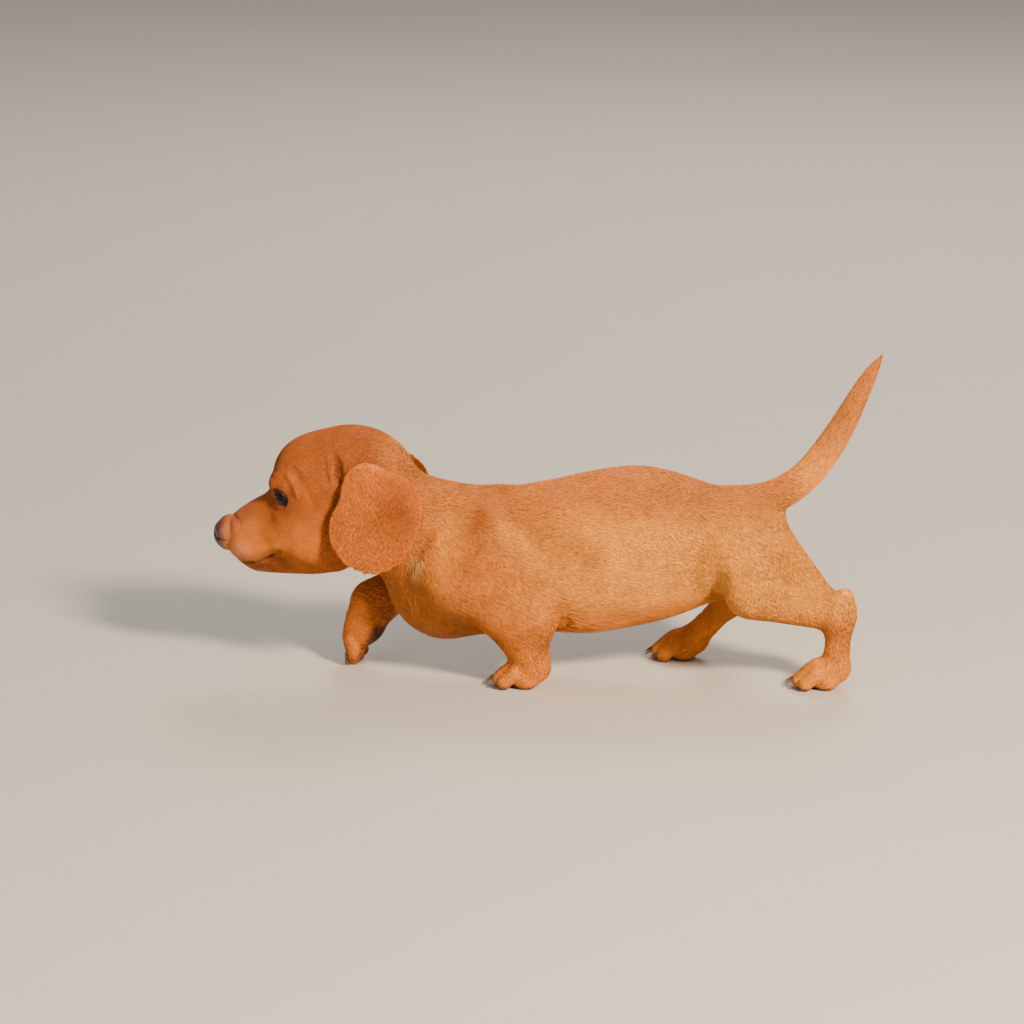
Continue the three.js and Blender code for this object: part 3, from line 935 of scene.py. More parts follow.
@dataclass(frozen=True)
class Palette:
    """The colours of the hair and of the bare skin that shows through it."""

    red: str = "#C3742E"
    gold: str = "#E89A36"
    orange: str = "#D27622"
    face: str = "#AC5C20"
    deep: str = "#7C3C16"
    ear: str = "#D67527"
    pale: str = "#E8C490"
    pink: str = "#C48A70"
    bare: str = "#9A5640"
    rim: str = "#32190F"
    pad: str = "#4A2E26"

    def mix(self, base: Array, code: str, share: Array) -> Array:
        """Colours with a share of another laid over them."""
        return base + np.clip(share, 0, 1)[:, None] * (np.array(linear(code)) - base)

    def markings(self, points: Array, ears: Array, eyes: "Eyes") -> Array:
        """The colour of the hair at points of the animal, with painted shade and painted highlight in a few
        places.

        Args:
            points: The points.
            ears: The distance of each to the nearer ear.
            eyes: The eyes, whose rims are dark.

        Returns:
            A linear colour for each point.
        """
        x, y, z = points.T
        head = TURN.straight(points)
        hx, _, hz = head.T
        right = folded(head)
        aside = np.abs(y)
        in_head = smooth(-96, -112, hx)
        on_ear = smooth(1.2, -0.6, ears)
        lips = ball(right, (-171, 15, 75), (9, 12, 3.2)) + 0.6 * ball(right, (-188, 10, 70.3), (12, 9, 1.9))
        mottled = 0.7 + 0.3 * np.sin(1.9 * hx + 0.7 * hz) * np.sin(2.3 * hz - 0.6 * hx)
        layers = [
            # trunk, legs and tail, with the darker and lighter bands at the shoulder, partly the hair's own
            # colour and partly painted shade and painted highlight of its form
            (self.gold, smooth(-70, 40, x) * smooth(118, 96, z)),
            (self.orange, smooth(62, 40, z) * smooth(-90, -60, x) * 0.7),
            (self.orange, 0.75 * ball(points, (-52, 0, 72), (50, 90, 34))),
            (self.gold, smooth(140, 160, x) * smooth(100, 120, z) * 0.7),
            (self.red, smooth(125, 165, z) * smooth(150, 165, x)),
            (self.pale, 0.2 * (smooth(24, 0, aside) * smooth(52, 34, z)) * smooth(-90, -60, x)),
            (self.pink, 0.5 * smooth(20, 4, aside) * smooth(44, 30, z) * smooth(-40, 10, x)),
            (self.deep, sum(stroke.push(points) for stroke in SHOULDER_DARK_HAIR_AND_SHADE)),
            (self.gold, sum(stroke.push(points) for stroke in SHOULDER_LIGHT_HAIR_AND_HIGHLIGHT)),
            # the head: cheeks, crown and bridge
            (self.face, in_head),
            (self.orange, in_head * smooth(112, 92, hz) * 0.6),
            (self.deep, in_head * smooth(128, 150, hz) * 0.25),
            (self.deep, 0.3 * smooth(-150, -164, hx) * smooth(90, 102, hz)),
            # the thin-haired muzzle and the lips
            (self.bare, 0.45 * smooth(-176, -192, hx) * smooth(84, 96, hz)),
            (self.pink, 0.8 * ball(right, (-189, 12, 79.5), (6, 6, 4))),
            (self.bare, 0.5 * ball(right, (-196, 6, 84), (5, 8, 12))),
            (self.deep, 0.95 * ball(right, (-178, 12, 69), (16, 14, 5))),
            (self.rim, mottled * lips),
            # round the eye, the brow and the ear's root
            (self.deep, 0.4 * ball(right, (-171, 14, 107), (4.5, 8, 7))),
            (self.orange, 0.5 * ball(right, (-172, 17, 83), (10, 8, 2.6))),
            (self.deep, 0.6 * ball(right, (-161, 19, 113.5), (10, 10, 8))),
            # painted highlight on the knob of the brow
            (self.orange, 0.5 * ball(right, (-157, 22, 126), (5, 9, 6))),
            # painted shade in the notch behind the ear's root
            (self.rim, 0.75 * ball(right, (-125.8, 30, 136.5), (2.9, 8, 6))),
            # the ears, the pale lock below the left one, and the rims of the lids
            (self.ear, on_ear),
            (self.deep, on_ear * 0.6 * ball(right, (-88, 36, 116), (14, 60, 20))),
            (self.orange, on_ear * 0.35 * ball(right, (-112, 36, 96), (14, 60, 22))),
            (self.pale, 0.55 * ball(points, (-83, -28, 80), (4, 14, 6))),
            (self.rim, eyes.rim_share(head)),
        ]
        for paw in PAWS.values():
            local = paw.local(points)
            sole = smooth(-5.5, -8.2, local[:, 2]) * smooth(26, 20, np.linalg.norm(local, axis=1))
            layers.append((self.pad, 0.85 * sole * smooth(-12, -8, local[:, 0])))
        colours = np.tile(np.array(linear(self.red)), (len(points), 1))
        for code, share in layers:
            colours = self.mix(colours, code, share)
        return colours


@dataclass(frozen=True)
class Eyes:
    """The eyes and the openings of their lids, on the straight head.

    Attributes:
        centre: The middle of the right eyeball.
        radius: Of the eyeball.
        aside: Degrees from straight ahead that an eye looks to its side.
        inner: Place of the inner corner along the slit and up, from the eyeball's middle.
        outer: The same for the outer corner.
        top: How high the upper lid arches above the line between the corners.
        bottom: How deep the lower lid hangs below it.
        lid: Thickness of a lid.
        bulge: How far the cornea stands out of the ball.
        pupil: Colour of the pupil.
        rings: The colours round it, each with the degrees from the middle where it starts and
            where it is full, and its share.
    """

    centre: Place = (-160.0, 14.9, 115.5)
    radius: float = 6.6
    aside: float = 59.0
    inner: tuple[float, float] = (6.9, 2.5)
    outer: tuple[float, float] = (-6.3, -2.3)
    top: float = 3.0
    bottom: float = 3.5
    lid: float = 0.9
    bulge: float = 0.5
    pupil: str = "#07080B"
    rings: tuple[tuple[str, float, float, float], ...] = (
        ("#1B2433", 19, 24, 1.0),
        ("#201A18", 30, 44, 0.6),
        ("#0C0A0A", 46, 51, 1.0),
        ("#4A322D", 56, 64, 1.0),
    )

    def axes(self) -> Array:
        """Rows: towards the inner corner, up, and out, for the right eye."""
        cos, sin = cos_sin(self.aside)
        return np.array([[-sin, -cos, 0], [0, 0, 1], [-cos, sin, 0]])

    def local(self, head: Array) -> Array:
        """Points of the straight head seen from the nearer eye: along the slit, up, and out."""
        return (folded(head) - self.centre) @ self.axes().T

    def from_local(self, local: Array, signs: Array) -> Array:
        """The reverse of local, on the sides that the signs give."""
        right = local @ self.axes() + self.centre
        return right * np.stack([np.ones(len(signs)), signs, np.ones(len(signs))], 1)

    def opening(self, local: Array) -> Array:
        """How far points lie outside the slit.

        Args:
            local: The points, seen from the eye.

        Returns:
            Shares of the slit's half height, negative inside it.
        """
        past_corner = 12  # how steeply the value climbs beyond the corners
        u, v, _ = local.T
        t = (u - self.outer[0]) / (self.inner[0] - self.outer[0])
        arch = np.sqrt(np.clip(4 * t * (1 - t), 1e-4, 1))
        middle = self.outer[1] + (self.inner[1] - self.outer[1]) * t
        half = np.where(v > middle, self.top, self.bottom) * arch
        ends = np.maximum(np.maximum(-t, t - 1), 0) * past_corner
        return np.abs(v - middle) / half - 1 + ends

    def rim_share(self, head: Array) -> Array:
        """How much of the dark rim shows at points of the straight head."""
        local = self.local(head)
        near = smooth(13, 9, np.linalg.norm(local, axis=1)) * smooth(0, 2, local[:, 2])
        corner = ball(local, (self.inner[0] + 1.6, self.inner[1] + 0.4, 3.5), (2.4, 1.3, 4))
        return near * np.clip(smooth(0.7, 0.15, self.opening(local)) + corner, 0, 1)

    def rim_line(self, radius: float, count: int = 56) -> Array:
        """The edge of the slit.

        Args:
            radius: Its distance from the eyeball's middle.
            count: Number of points.

        Returns:
            Points round it, seen from the eye.
        """
        turn = np.linspace(0, 2 * np.pi, count, endpoint=False)
        t = 0.5 + 0.5 * np.cos(turn)
        u = self.outer[0] + (self.inner[0] - self.outer[0]) * t
        middle = self.outer[1] + (self.inner[1] - self.outer[1]) * t
        v = middle + np.where(np.sin(turn) > 0, self.top, self.bottom) * np.sin(turn)
        w = np.sqrt(np.maximum(radius**2 - u**2 - v**2, 5.8))
        return np.stack([u, v, w], 1)

    def colours(self, local: Array) -> Array:
        """Pupil, iris, its dark edge and the white, by the angle from the way that the eye looks.

        Args:
            local: Points of the eyeball, seen from its middle.

        Returns:
            A linear colour for each.
        """
        angle = np.degrees(np.arccos(np.clip(local[:, 2] / np.linalg.norm(local, axis=1), -1, 1)))
        colours = np.tile(np.array(linear(self.pupil)), (len(local), 1))
        for code, start, full, share in self.rings:
            colours = Palette().mix(colours, code, smooth(start, full, angle) * share)
        return colours

    def build(self, side: Side, finish: bpy.types.Material) -> bpy.types.Object:
        """Makes one eyeball with its bulging cornea.

        Args:
            side: Which eye.
            finish: Its material.

        Returns:
            The piece.
        """
        bm = bmesh.new()
        bmesh.ops.create_uvsphere(bm, u_segments=48, v_segments=32, radius=self.radius)
        piece = mesh_from(f"eyeball_{side.word}", bm)
        local = places_of(piece.data)
        angle = np.degrees(np.arccos(np.clip(local[:, 2] / self.radius, -1, 1)))
        local = local * (1 + self.bulge * smooth(46, 10, angle) / self.radius)[:, None]
        signs = np.full(len(local), float(side.value))
        paint(piece.data, self.colours(local))
        move_to(piece.data, TURN.posed(self.from_local(local, signs)))
        if side is Side.LEFT:
            piece.data.flip_normals()
        piece.data.materials.append(finish)
        hand_over(piece, "eye", f"eye_{side.word}")
        return piece


@dataclass(frozen=True)
class Stroke:
    """A fold or a crease pressed into the skin along a line.

    Attributes:
        path: Points of the line, for the animal's right side.
        width: Half width of the fold.
        height: How far it stands out, or in if negative.
        sides: The sides that have it.
        LOOSE: The share of a distance across the animal that counts.
    """

    path: tuple[Place, ...]
    width: float
    height: float
    sides: tuple[Side, ...] = (Side.LEFT, Side.RIGHT)
    LOOSE = 0.45

    def push(self, points: Array) -> Array:
        """The fold's height at points.

        Args:
            points: The points.

        Returns:
            How far each is pushed out.
        """
        weights = np.array([1, self.LOOSE, 1])
        total = np.zeros(len(points))
        for side in self.sides:
            line = np.array(self.path) * (1, side.value, 1)
            near = np.full(len(points), np.inf)
            for start, end in zip(line, line[1:]):
                run = (end - start) * weights
                away = (points - start) * weights
                share = np.clip(away @ run / max(run @ run, 1e-9), 0, 1)
                near = np.minimum(near, np.linalg.norm(away - share[:, None] * run, axis=1))
            total += self.height * np.exp(-((near / self.width) ** 2))
        return total


HEAD_STROKES = (
    # the line of the closed lips, and the light fold above it
    Stroke(
        ((-203, 3, 75), (-198, 6, 73), (-190.5, 9, 70.3), (-181, 13, 70.6), (-170.5, 15.5, 76.6)), 1.0, -1.7
    ),
    Stroke(((-170.5, 15.5, 76.6), (-164, 17.5, 79.3)), 1.0, -1.2),
    Stroke(((-186, 12, 76), (-176, 16, 81), (-163, 20, 84.5)), 2.6, 1.2),
    Stroke(((-165, 18, 80), (-161.5, 20, 86)), 1.5, -0.8),
    # the pad that carries the whiskers, and the fold behind the nose's wing
    Stroke(((-191, 11, 80.5), (-187, 12, 78.5)), 5.0, 1.4),
    Stroke(((-197, 6, 99), (-191.5, 8.5, 97), (-190, 10, 92), (-193, 10, 87.5)), 1.2, -1.0),
    Stroke(((-195.5, 8, 95), (-195, 9, 91)), 2.0, 0.7),
    # the trough below the inner corner of the eye, and the edge of the socket below the lid
    Stroke(((-172, 14, 110), (-172, 14, 105), (-169, 18, 100)), 2.8, -0.4),
    Stroke(((-172, 16, 93), (-168, 18, 86)), 5.0, 1.1),
    Stroke(((-168, 19, 107), (-160, 22, 105), (-152, 25, 108)), 1.6, -0.8),
    # the knob of the brow, its fold, and the furrows behind it
    Stroke(((-166, 15, 128.2), (-164, 16.5, 128.6)), 1.9, 1.7),
    Stroke(((-164, 18, 132.5), (-158.5, 21, 129.5), (-154, 25, 124.5), (-151, 26, 118)), 2.1, 1.3),
    Stroke(((-155, 21, 134), (-146, 27, 124), (-139, 30, 112)), 2.2, -0.8),
    # the front fold of the ear's root and the notch behind it
    Stroke(((-133, 28, 145.5), (-130.5, 30, 139), (-128.5, 30, 131)), 2.2, 2.4),
    Stroke(((-127.5, 29, 142.5), (-125.5, 30, 138), (-125, 30, 131)), 2.5, -4.2),
)

# Darker and lighter bands about the shoulder, partly the hair's own colour and partly painted shade and
# painted highlight of the shoulder's form; their height is the share of the colour
SHOULDER_DARK_HAIR_AND_SHADE = (
    Stroke(((-56, 24, 108), (-8, 35, 103), (20, 40, 84)), 11.0, 0.34),
    Stroke(((-47, 30, 108), (-49, 34, 84), (-61, 30, 61)), 5.5, 0.3),
)
SHOULDER_LIGHT_HAIR_AND_HIGHLIGHT = (
    Stroke(((-30, 34, 103), (-15, 38, 87), (3, 38, 67)), 6.5, 0.5),
    Stroke(((-63, 27, 107), (-68, 29, 76)), 8.5, 0.5),
)

BODY_STROKES = (
    # creases between the neck and the shoulder, at the elbow and in front of the thigh
    Stroke(((-72, 29, 96), (-81, 29, 82), (-88, 26, 66)), 4.0, -1.3, (Side.LEFT,)),
    Stroke(((4, 38, 62), (10, 38, 48), (6, 34, 36)), 4.5, -1.1, (Side.LEFT,)),
    Stroke(((96, 36, 92), (92, 36, 66), (100, 32, 50)), 5.0, -1.0),
    Stroke(((-56, 28, 96), (-40, 33, 84), (-30, 36, 66)), 5.0, -0.6),
)


@dataclass(frozen=True)
class LieGuide:
    """The way that the hair lies near a place.

    Attributes:
        place: Where, for the right side.
        lie: The direction from root to tip.
        reach: How far the guide is felt.
        sides: The sides that it guides.
    """

    place: Place
    lie: Place
    reach: float = 26.0
    sides: tuple[Side, ...] = (Side.LEFT, Side.RIGHT)


LEFT_ONLY = (Side.LEFT,)
RIGHT_ONLY = (Side.RIGHT,)

BODY_GUIDES = (
    LieGuide((-75, 6, 128), (1, 0, -0.25)),
    LieGuide((-30, 4, 120), (1, 0, 0.05)),
    LieGuide((30, 4, 130), (1, 0, 0)),
    LieGuide((85, 4, 130), (1, 0, -0.1)),
    LieGuide((125, 8, 114), (1, 0, -0.15)),
    LieGuide((-80, 28, 104), (0.8, 0, -0.6)),
    LieGuide((-88, 18, 76), (0.35, 0, -0.95)),
    LieGuide((-92, 4, 60), (0.1, 0, -1)),
    LieGuide((-80, 16, 44), (-0.2, 0, -1)),
    LieGuide((-62, 6, 30), (0.5, 0, -0.8)),
    LieGuide((-50, 32, 90), (0.75, 0, -0.65)),
    LieGuide((-10, 38, 90), (1, 0, -0.3)),
    LieGuide((-20, 36, 60), (0.8, 0, -0.6)),
    LieGuide((30, 40, 90), (1, 0, -0.2)),
    LieGuide((30, 36, 55), (1, 0, -0.3)),
    LieGuide((60, 34, 50), (1, 0, -0.15)),
    LieGuide((75, 38, 90), (1, 0, -0.25)),
    LieGuide((10, 10, 32), (1, 0, -0.1)),
    LieGuide((60, 10, 36), (1, 0, 0.1)),
    LieGuide((105, 34, 90), (0.6, 0, -0.8)),
    LieGuide((138, 16, 96), (0.5, 0, -0.9)),
    LieGuide((143, 4, 84), (0.15, 0, -1)),
    LieGuide((-35, 40, 56), (0.7, 0, -0.7), 20, LEFT_ONLY),
    LieGuide((-8, 36, 30), (0.1, 0, -1), 16, LEFT_ONLY),
    LieGuide((-22, 32, 9), (-0.95, 0, -0.35), 14, LEFT_ONLY),
    LieGuide((-66, 30, 60), (-0.5, 0, -0.85), 18, RIGHT_ONLY),
    LieGuide((-97, 27, 48), (-0.8, 0, -0.65), 18, RIGHT_ONLY),
    LieGuide((-113, 24, 28), (-0.1, 0, -1), 18, RIGHT_ONLY),
    LieGuide((-118, 24, 12), (-0.1, 0, -1), 14, RIGHT_ONLY),
    LieGuide((124, 40, 72), (0.4, 0, -0.9), 20, LEFT_ONLY),
    LieGuide((150, 34, 54), (0.95, 0, -0.35), 16, LEFT_ONLY),
    LieGuide((177, 34, 34), (0, 0, -1), 16, LEFT_ONLY),
    LieGuide((164, 34, 9), (-0.95, 0, -0.3), 14, LEFT_ONLY),
    LieGuide((104, 40, 74), (-0.1, 0, -1), 20, RIGHT_ONLY),
    LieGuide((110, 34, 50), (0.4, 0, -0.9), 16, RIGHT_ONLY),
    LieGuide((104, 34, 26), (-0.7, 0, -0.75), 16, RIGHT_ONLY),
    LieGuide((78, 34, 9), (-0.95, 0, -0.3), 14, RIGHT_ONLY),
)

HEAD_GUIDES = (
    LieGuide((-196, 2, 96), (0.9, 0, 0.4), 10),
    LieGuide((-184, 2, 108), (0.85, 0, 0.45), 12),
    LieGuide((-190, 12, 86), (1, 0, 0.05), 10),
    LieGuide((-188, 10, 74), (1, 0, -0.15), 9),
    LieGuide((-170, 2, 66), (1, 0, 0), 14),
    LieGuide((-172, 17, 96), (1, 0.3, 0), 10),
    LieGuide((-168, 6, 124), (0.7, 0, 0.7), 10),
    LieGuide((-158, 20, 128), (0.6, 0.4, 0.5), 9),
    LieGuide((-152, 22, 112), (1, 0.3, -0.1), 10),
    LieGuide((-150, 4, 142), (0.8, 0, 0.55), 16),
    LieGuide((-122, 4, 158), (1, 0, 0), 20),
    LieGuide((-135, 26, 135), (1, 0.1, 0), 16),
    LieGuide((-142, 30, 98), (1, 0, -0.2), 16),
    LieGuide((-118, 30, 92), (0.9, 0, -0.45), 16),
    LieGuide((-140, 10, 68), (1, 0, -0.05), 16),
    LieGuide((-96, 4, 144), (0.85, 0, -0.55), 20),
)


@dataclass(frozen=True)
class Lie:
    """The lie of the whole coat.

    Attributes:
        ears: The ears, on which it runs down from their origin.
        tail: The tail, along which it runs.
        tail_reach: How far a guide on the tail is felt.
        wander: How much the hair strays from its guides in waves.
        waves: How many waves there are in a millimetre, as a spread.
        jitter: How much each tuft strays by itself.
    """

    ears: Ears = Ears()
    tail: Tail = Tail()
    tail_reach: float = 16.0
    wander: float = 0.16
    waves: float = 0.12
    jitter: float = 0.1

    @staticmethod
    def unit(rows: Array) -> Array:
        """Rows at a length of one."""
        return rows / (np.linalg.norm(rows, axis=1, keepdims=True) + 1e-9)

    @staticmethod
    def blended(points: Array, guides: Sequence[LieGuide]) -> Array:
        """The guides' directions at points, each weighted by its nearness.

        Args:
            points: The points.
            guides: The guides.

        Returns:
            The sum of the directions at each point.
        """
        total = np.zeros_like(points)
        for guide in guides:
            for side in guide.sides:
                flip = np.array([1, side.value, 1])
                near = (((points - flip * guide.place) / guide.reach) ** 2).sum(1)
                pull = np.exp(-near) + 1e-4 / (1 + near)
                total += pull[:, None] * (flip * guide.lie)
        return total

    def tail_guides(self) -> list[LieGuide]:
        """Guides that follow the tail."""
        made = []
        for (x0, z0, _), (x1, z1, _) in zip(self.tail.stations[1:], self.tail.stations[2:]):
            run = np.array((x1 - x0, 0, z1 - z0))
            made.append(LieGuide((x0, 0, z0), tuple(run / np.linalg.norm(run)), self.tail_reach, RIGHT_ONLY))
        return made

    def directions(self, points: Array, normals: Array, ear: Array, rng: np.random.Generator) -> Array:
        """The direction of the hair at points of the skin.

        Args:
            points: The roots.
            normals: The skin's normals there.
            ear: How much each root is on an ear, from 0 to 1.
            rng: Source of chance.

        Returns:
            A unit direction along the skin for each root.
        """
        body = self.blended(points, (*BODY_GUIDES, *self.tail_guides()))
        straight = TURN.straight(points)
        head = self.blended(straight, HEAD_GUIDES) @ TURN.matrix().T
        in_head = smooth(-92, -108, straight[:, 0])[:, None]
        lie = self.unit(body) * (1 - in_head) + self.unit(head) * in_head
        leaf = straight - np.array([self.ears.origin[0], 0, self.ears.origin[1]])
        leaf[:, 1] = 0
        leaf = self.unit(leaf) @ TURN.matrix().T
        lie = self.unit(lie) * (1 - ear[:, None]) + leaf * ear[:, None]
        waves = [np.sin(points @ rng.normal(0, self.waves, 3) + rng.uniform(0, 6)) for _ in range(3)]
        lie = lie + self.wander * np.stack(waves, 1) + rng.normal(0, self.jitter, lie.shape)
        lie -= (lie * normals).sum(1, keepdims=True) * normals
        return self.unit(lie)


@dataclass
class Skin:
    """The one skin over all flesh: a closed surface that lies inside the solids by the coat's depth.

    Attributes:
        form: The flesh.
        eyes: The eyes that look out of it.
        voxel: Size in mm of the cells of the first surface.
        swell: How much each solid is swollen so that the thin cuts close.
        nose_swell: The same for the nose, which the skin runs in behind.
        body_depth: Depth of the coat on trunk and legs.
        face_depth: Depth of the coat on face, ears and feet.
        nose_depth: How much deeper the skin lies under the nose leather.
        sole: Height of the skin of the soles over the floor.
        lid_reach: How far a lid is drawn over the eyeball, in half heights of the slit.
        lid_slack: How far a lid may stand off the eyeball.
        sunk: How far the skin within the slit lies behind the eyeball's face.
    """

    form: Form
    eyes: Eyes
    voxel: float = 2.06
    swell: float = 0.6
    nose_swell: float = -1.0
    body_depth: float = 0.9
    face_depth: float = 0.4
    nose_depth: float = 2.4
    sole: float = 0.35
    lid_reach: float = 1.9
    lid_slack: float = 0.7
    sunk: float = 1.6

    def flesh_nodes(self) -> list[str]:
        """The names of the solids that the skin stands for."""
        return sorted(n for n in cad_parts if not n.startswith(("eye", "nose")) and "claw" not in n)

    def depth(self, points: Array) -> Array:
        """How deep the skin lies inside the solids.

        Args:
            points: Points of the skin.

        Returns:
            The depth at each.
        """
        straight = TURN.straight(points)
        head = smooth(-90, -125, straight[:, 0])
        foot = smooth(30, 14, points[:, 2])
        under_nose = self.nose_depth * smooth(0.2, 1.6, Nose.ahead(straight))
        return self.body_depth + (self.face_depth - self.body_depth) * np.maximum(head, foot) + under_nose

    def seed(self) -> bpy.types.Object:
        """A rough closed surface round all solids of flesh, with their cuts closed."""
        whole = bmesh.new()
        for name in [*self.flesh_nodes(), "nose"]:
            part = bmesh.new()
            part.from_mesh(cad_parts[name].data)
            bmesh.ops.remove_doubles(part, verts=part.verts, dist=0.01 * MM)
            part.normal_update()
            swell = self.nose_swell if name == "nose" else self.swell
            for vertex in part.verts:
                vertex.co += vertex.normal * swell * MM
            mesh = bpy.data.meshes.new("part")
            part.to_mesh(mesh)
            part.free()
            whole.from_mesh(mesh)
            bpy.data.meshes.remove(mesh)
        mesh = bpy.data.meshes.new("skin")
        whole.to_mesh(mesh)
        whole.free()
        piece = piece_of("skin", mesh)
        modifier = piece.modifiers.new("close", "REMESH")
        modifier.mode = "VOXEL"
        modifier.voxel_size = self.voxel * MM
        done = bpy.data.meshes.new_from_object(piece.evaluated_get(bpy.context.evaluated_depsgraph_get()))
        piece.modifiers.clear()
        piece.data = done
        return piece

    def refine(self, piece: bpy.types.Object) -> None:
        """Parts the faces of the surface into smaller ones where it needs them.

        Args:
            piece: The rough surface.
        """
        for chosen in (self.needs_half, self.needs_quarter):
            bm = bmesh.new()
            bm.from_mesh(piece.data)
            middles = np.array([face.calc_center_median() for face in bm.faces]) / MM
            edges = {edge for face, yes in zip(bm.faces, chosen(middles)) if yes for edge in face.edges}
            bmesh.ops.subdivide_edges(bm, edges=list(edges), cuts=1, use_grid_fill=True)
            bmesh.ops.triangulate(bm, faces=[face for face in bm.faces if len(face.verts) > 4])
            bm.to_mesh(piece.data)
            bm.free()

    def needs_half(self, points: Array) -> Array:
        """Whether cells need half the size: on face, feet, edges of the ears and end of the tail.

        Args:
            points: The middles of the cells.

        Returns:
            Yes or no for each.
        """
        head = TURN.straight(points)
        face = (head[:, 0] < -134) & (head[:, 2] > 55)
        feet = points[:, 2] < 19
        leaf = self.form.ears.outline(head[:, 0], head[:, 2])
        rims = (np.abs(leaf + 1) < 3) & (np.abs(head[:, 1]) > 20) & (head[:, 0] < -60)
        tail_end = points[:, 2] > 160
        return face | feet | rims | tail_end

    def needs_quarter(self, points: Array) -> Array:
        """Whether cells need a quarter of the size: about the eyes, nose and lips.

        Args:
            points: The middles of the cells.

        Returns:
            Yes or no for each.
        """
        head = TURN.straight(points)
        around = np.linalg.norm(self.eyes.local(head), axis=1) < 11.5
        muzzle = (head[:, 0] < -164) & (head[:, 2] < 90) & (head[:, 2] > 68)
        return around | muzzle | (head[:, 0] < -188)

    def settle(self, piece: bpy.types.Object) -> None:
        """Draws the rough surface onto the true form.

        Args:
            piece: The surface.
        """
        shape = self.form.whole()
        edges = edges_of(piece.data)
        places = places_of(piece.data)
        for share, most in ((0.6, 6.0), (0.6, 3.0), (0.5, 3.0), (0.4, 2.0)):
            places = pulled(shape, places, -self.depth(places), most, turns=1)
            places = eased(places, edges, share)
        for _ in range(3):
            move_to(piece.data, places)
            step = np.clip(shape(places) + self.depth(places), -1.5, 1.5)
            places = places - step[:, None] * normals_of(piece.data)
        move_to(piece.data, places)

    def sculpt(self, piece: bpy.types.Object) -> None:
        """Presses folds and creases into the skin, and opens the lids.

        Args:
            piece: The skin.
        """
        places, normals = places_of(piece.data), normals_of(piece.data)
        head = TURN.straight(places)
        push = sum(stroke.push(head) for stroke in HEAD_STROKES) * smooth(-88, -104, head[:, 0])
        push += sum(stroke.push(places) for stroke in BODY_STROKES)
        places = places + push[:, None] * normals
        places = TURN.posed(self.open_lids(TURN.straight(places)))
        places[:, 2] = np.maximum(places[:, 2], self.sole)
        move_to(piece.data, places)

    def open_lids(self, head: Array) -> Array:
        """Lays the lids over the eyeballs and sinks the skin within their slits behind them.

        Args:
            head: Points of the skin of the straight head.

        Returns:
            The moved points.
        """
        eyes = self.eyes
        local = eyes.local(head)
        away = np.linalg.norm(local, axis=1)
        near = (local[:, 2] > 0) & (away < 16)
        opening = eyes.opening(local)
        lid = eyes.radius + eyes.lid
        share = smooth(self.lid_reach, 0.0, opening) * near
        lifted = np.maximum(away, lid) * share + away * (1 - share)
        lowered = np.minimum(lifted, lid + self.lid_slack) * share + lifted * (1 - share)
        wanted = np.where(opening < 0, eyes.radius - self.sunk, lowered)
        wanted = np.where(near, wanted, away)
        moved = local * (wanted / np.maximum(away, 1e-6))[:, None]
        return eyes.from_local(moved, np.where(head[:, 1] < 0, -1.0, 1.0))

    def unwrap(self, piece: bpy.types.Object) -> None:
        """Gives the skin its map for baking.

        Args:
            piece: The skin.
        """
        for other in bpy.context.selected_objects:
            other.select_set(False)
        piece.data.uv_layers.new(name=BAKE_MAP)
        bpy.context.view_layer.objects.active = piece
        piece.select_set(True)
        bpy.ops.object.mode_set(mode="EDIT")
        bpy.ops.mesh.select_all(action="SELECT")
        bpy.ops.uv.smart_project(angle_limit=math.radians(70), island_margin=0.002)
        bpy.ops.object.mode_set(mode="OBJECT")

    def build(self, finish: bpy.types.Material) -> bpy.types.Object:
        """Makes the skin.

        Args:
            finish: Its material.

        Returns:
            The piece.
        """
        piece = self.seed()
        log.info("seed: %d faces", len(piece.data.polygons))
        self.refine(piece)
        log.info("refined: %d faces", len(piece.data.polygons))
        self.settle(piece)
        self.sculpt(piece)
        piece.data.shade_smooth()
        self.unwrap(piece)
        places = places_of(piece.data)
        paint(piece.data, Palette().markings(places, self.form.both_ears()(places), self.eyes))
        piece.data.materials.append(finish)
        hand_over(piece, "coat", *self.flesh_nodes())
        return piece


@dataclass(frozen=True)
class CoatPatch:
    """A part of the coat that is one piece.

    Attributes:
        name: The piece's name.
        count: Number of its tufts.
        slot: The record's material slot.
    """

    name: str
    count: int
    slot: str = "coat"


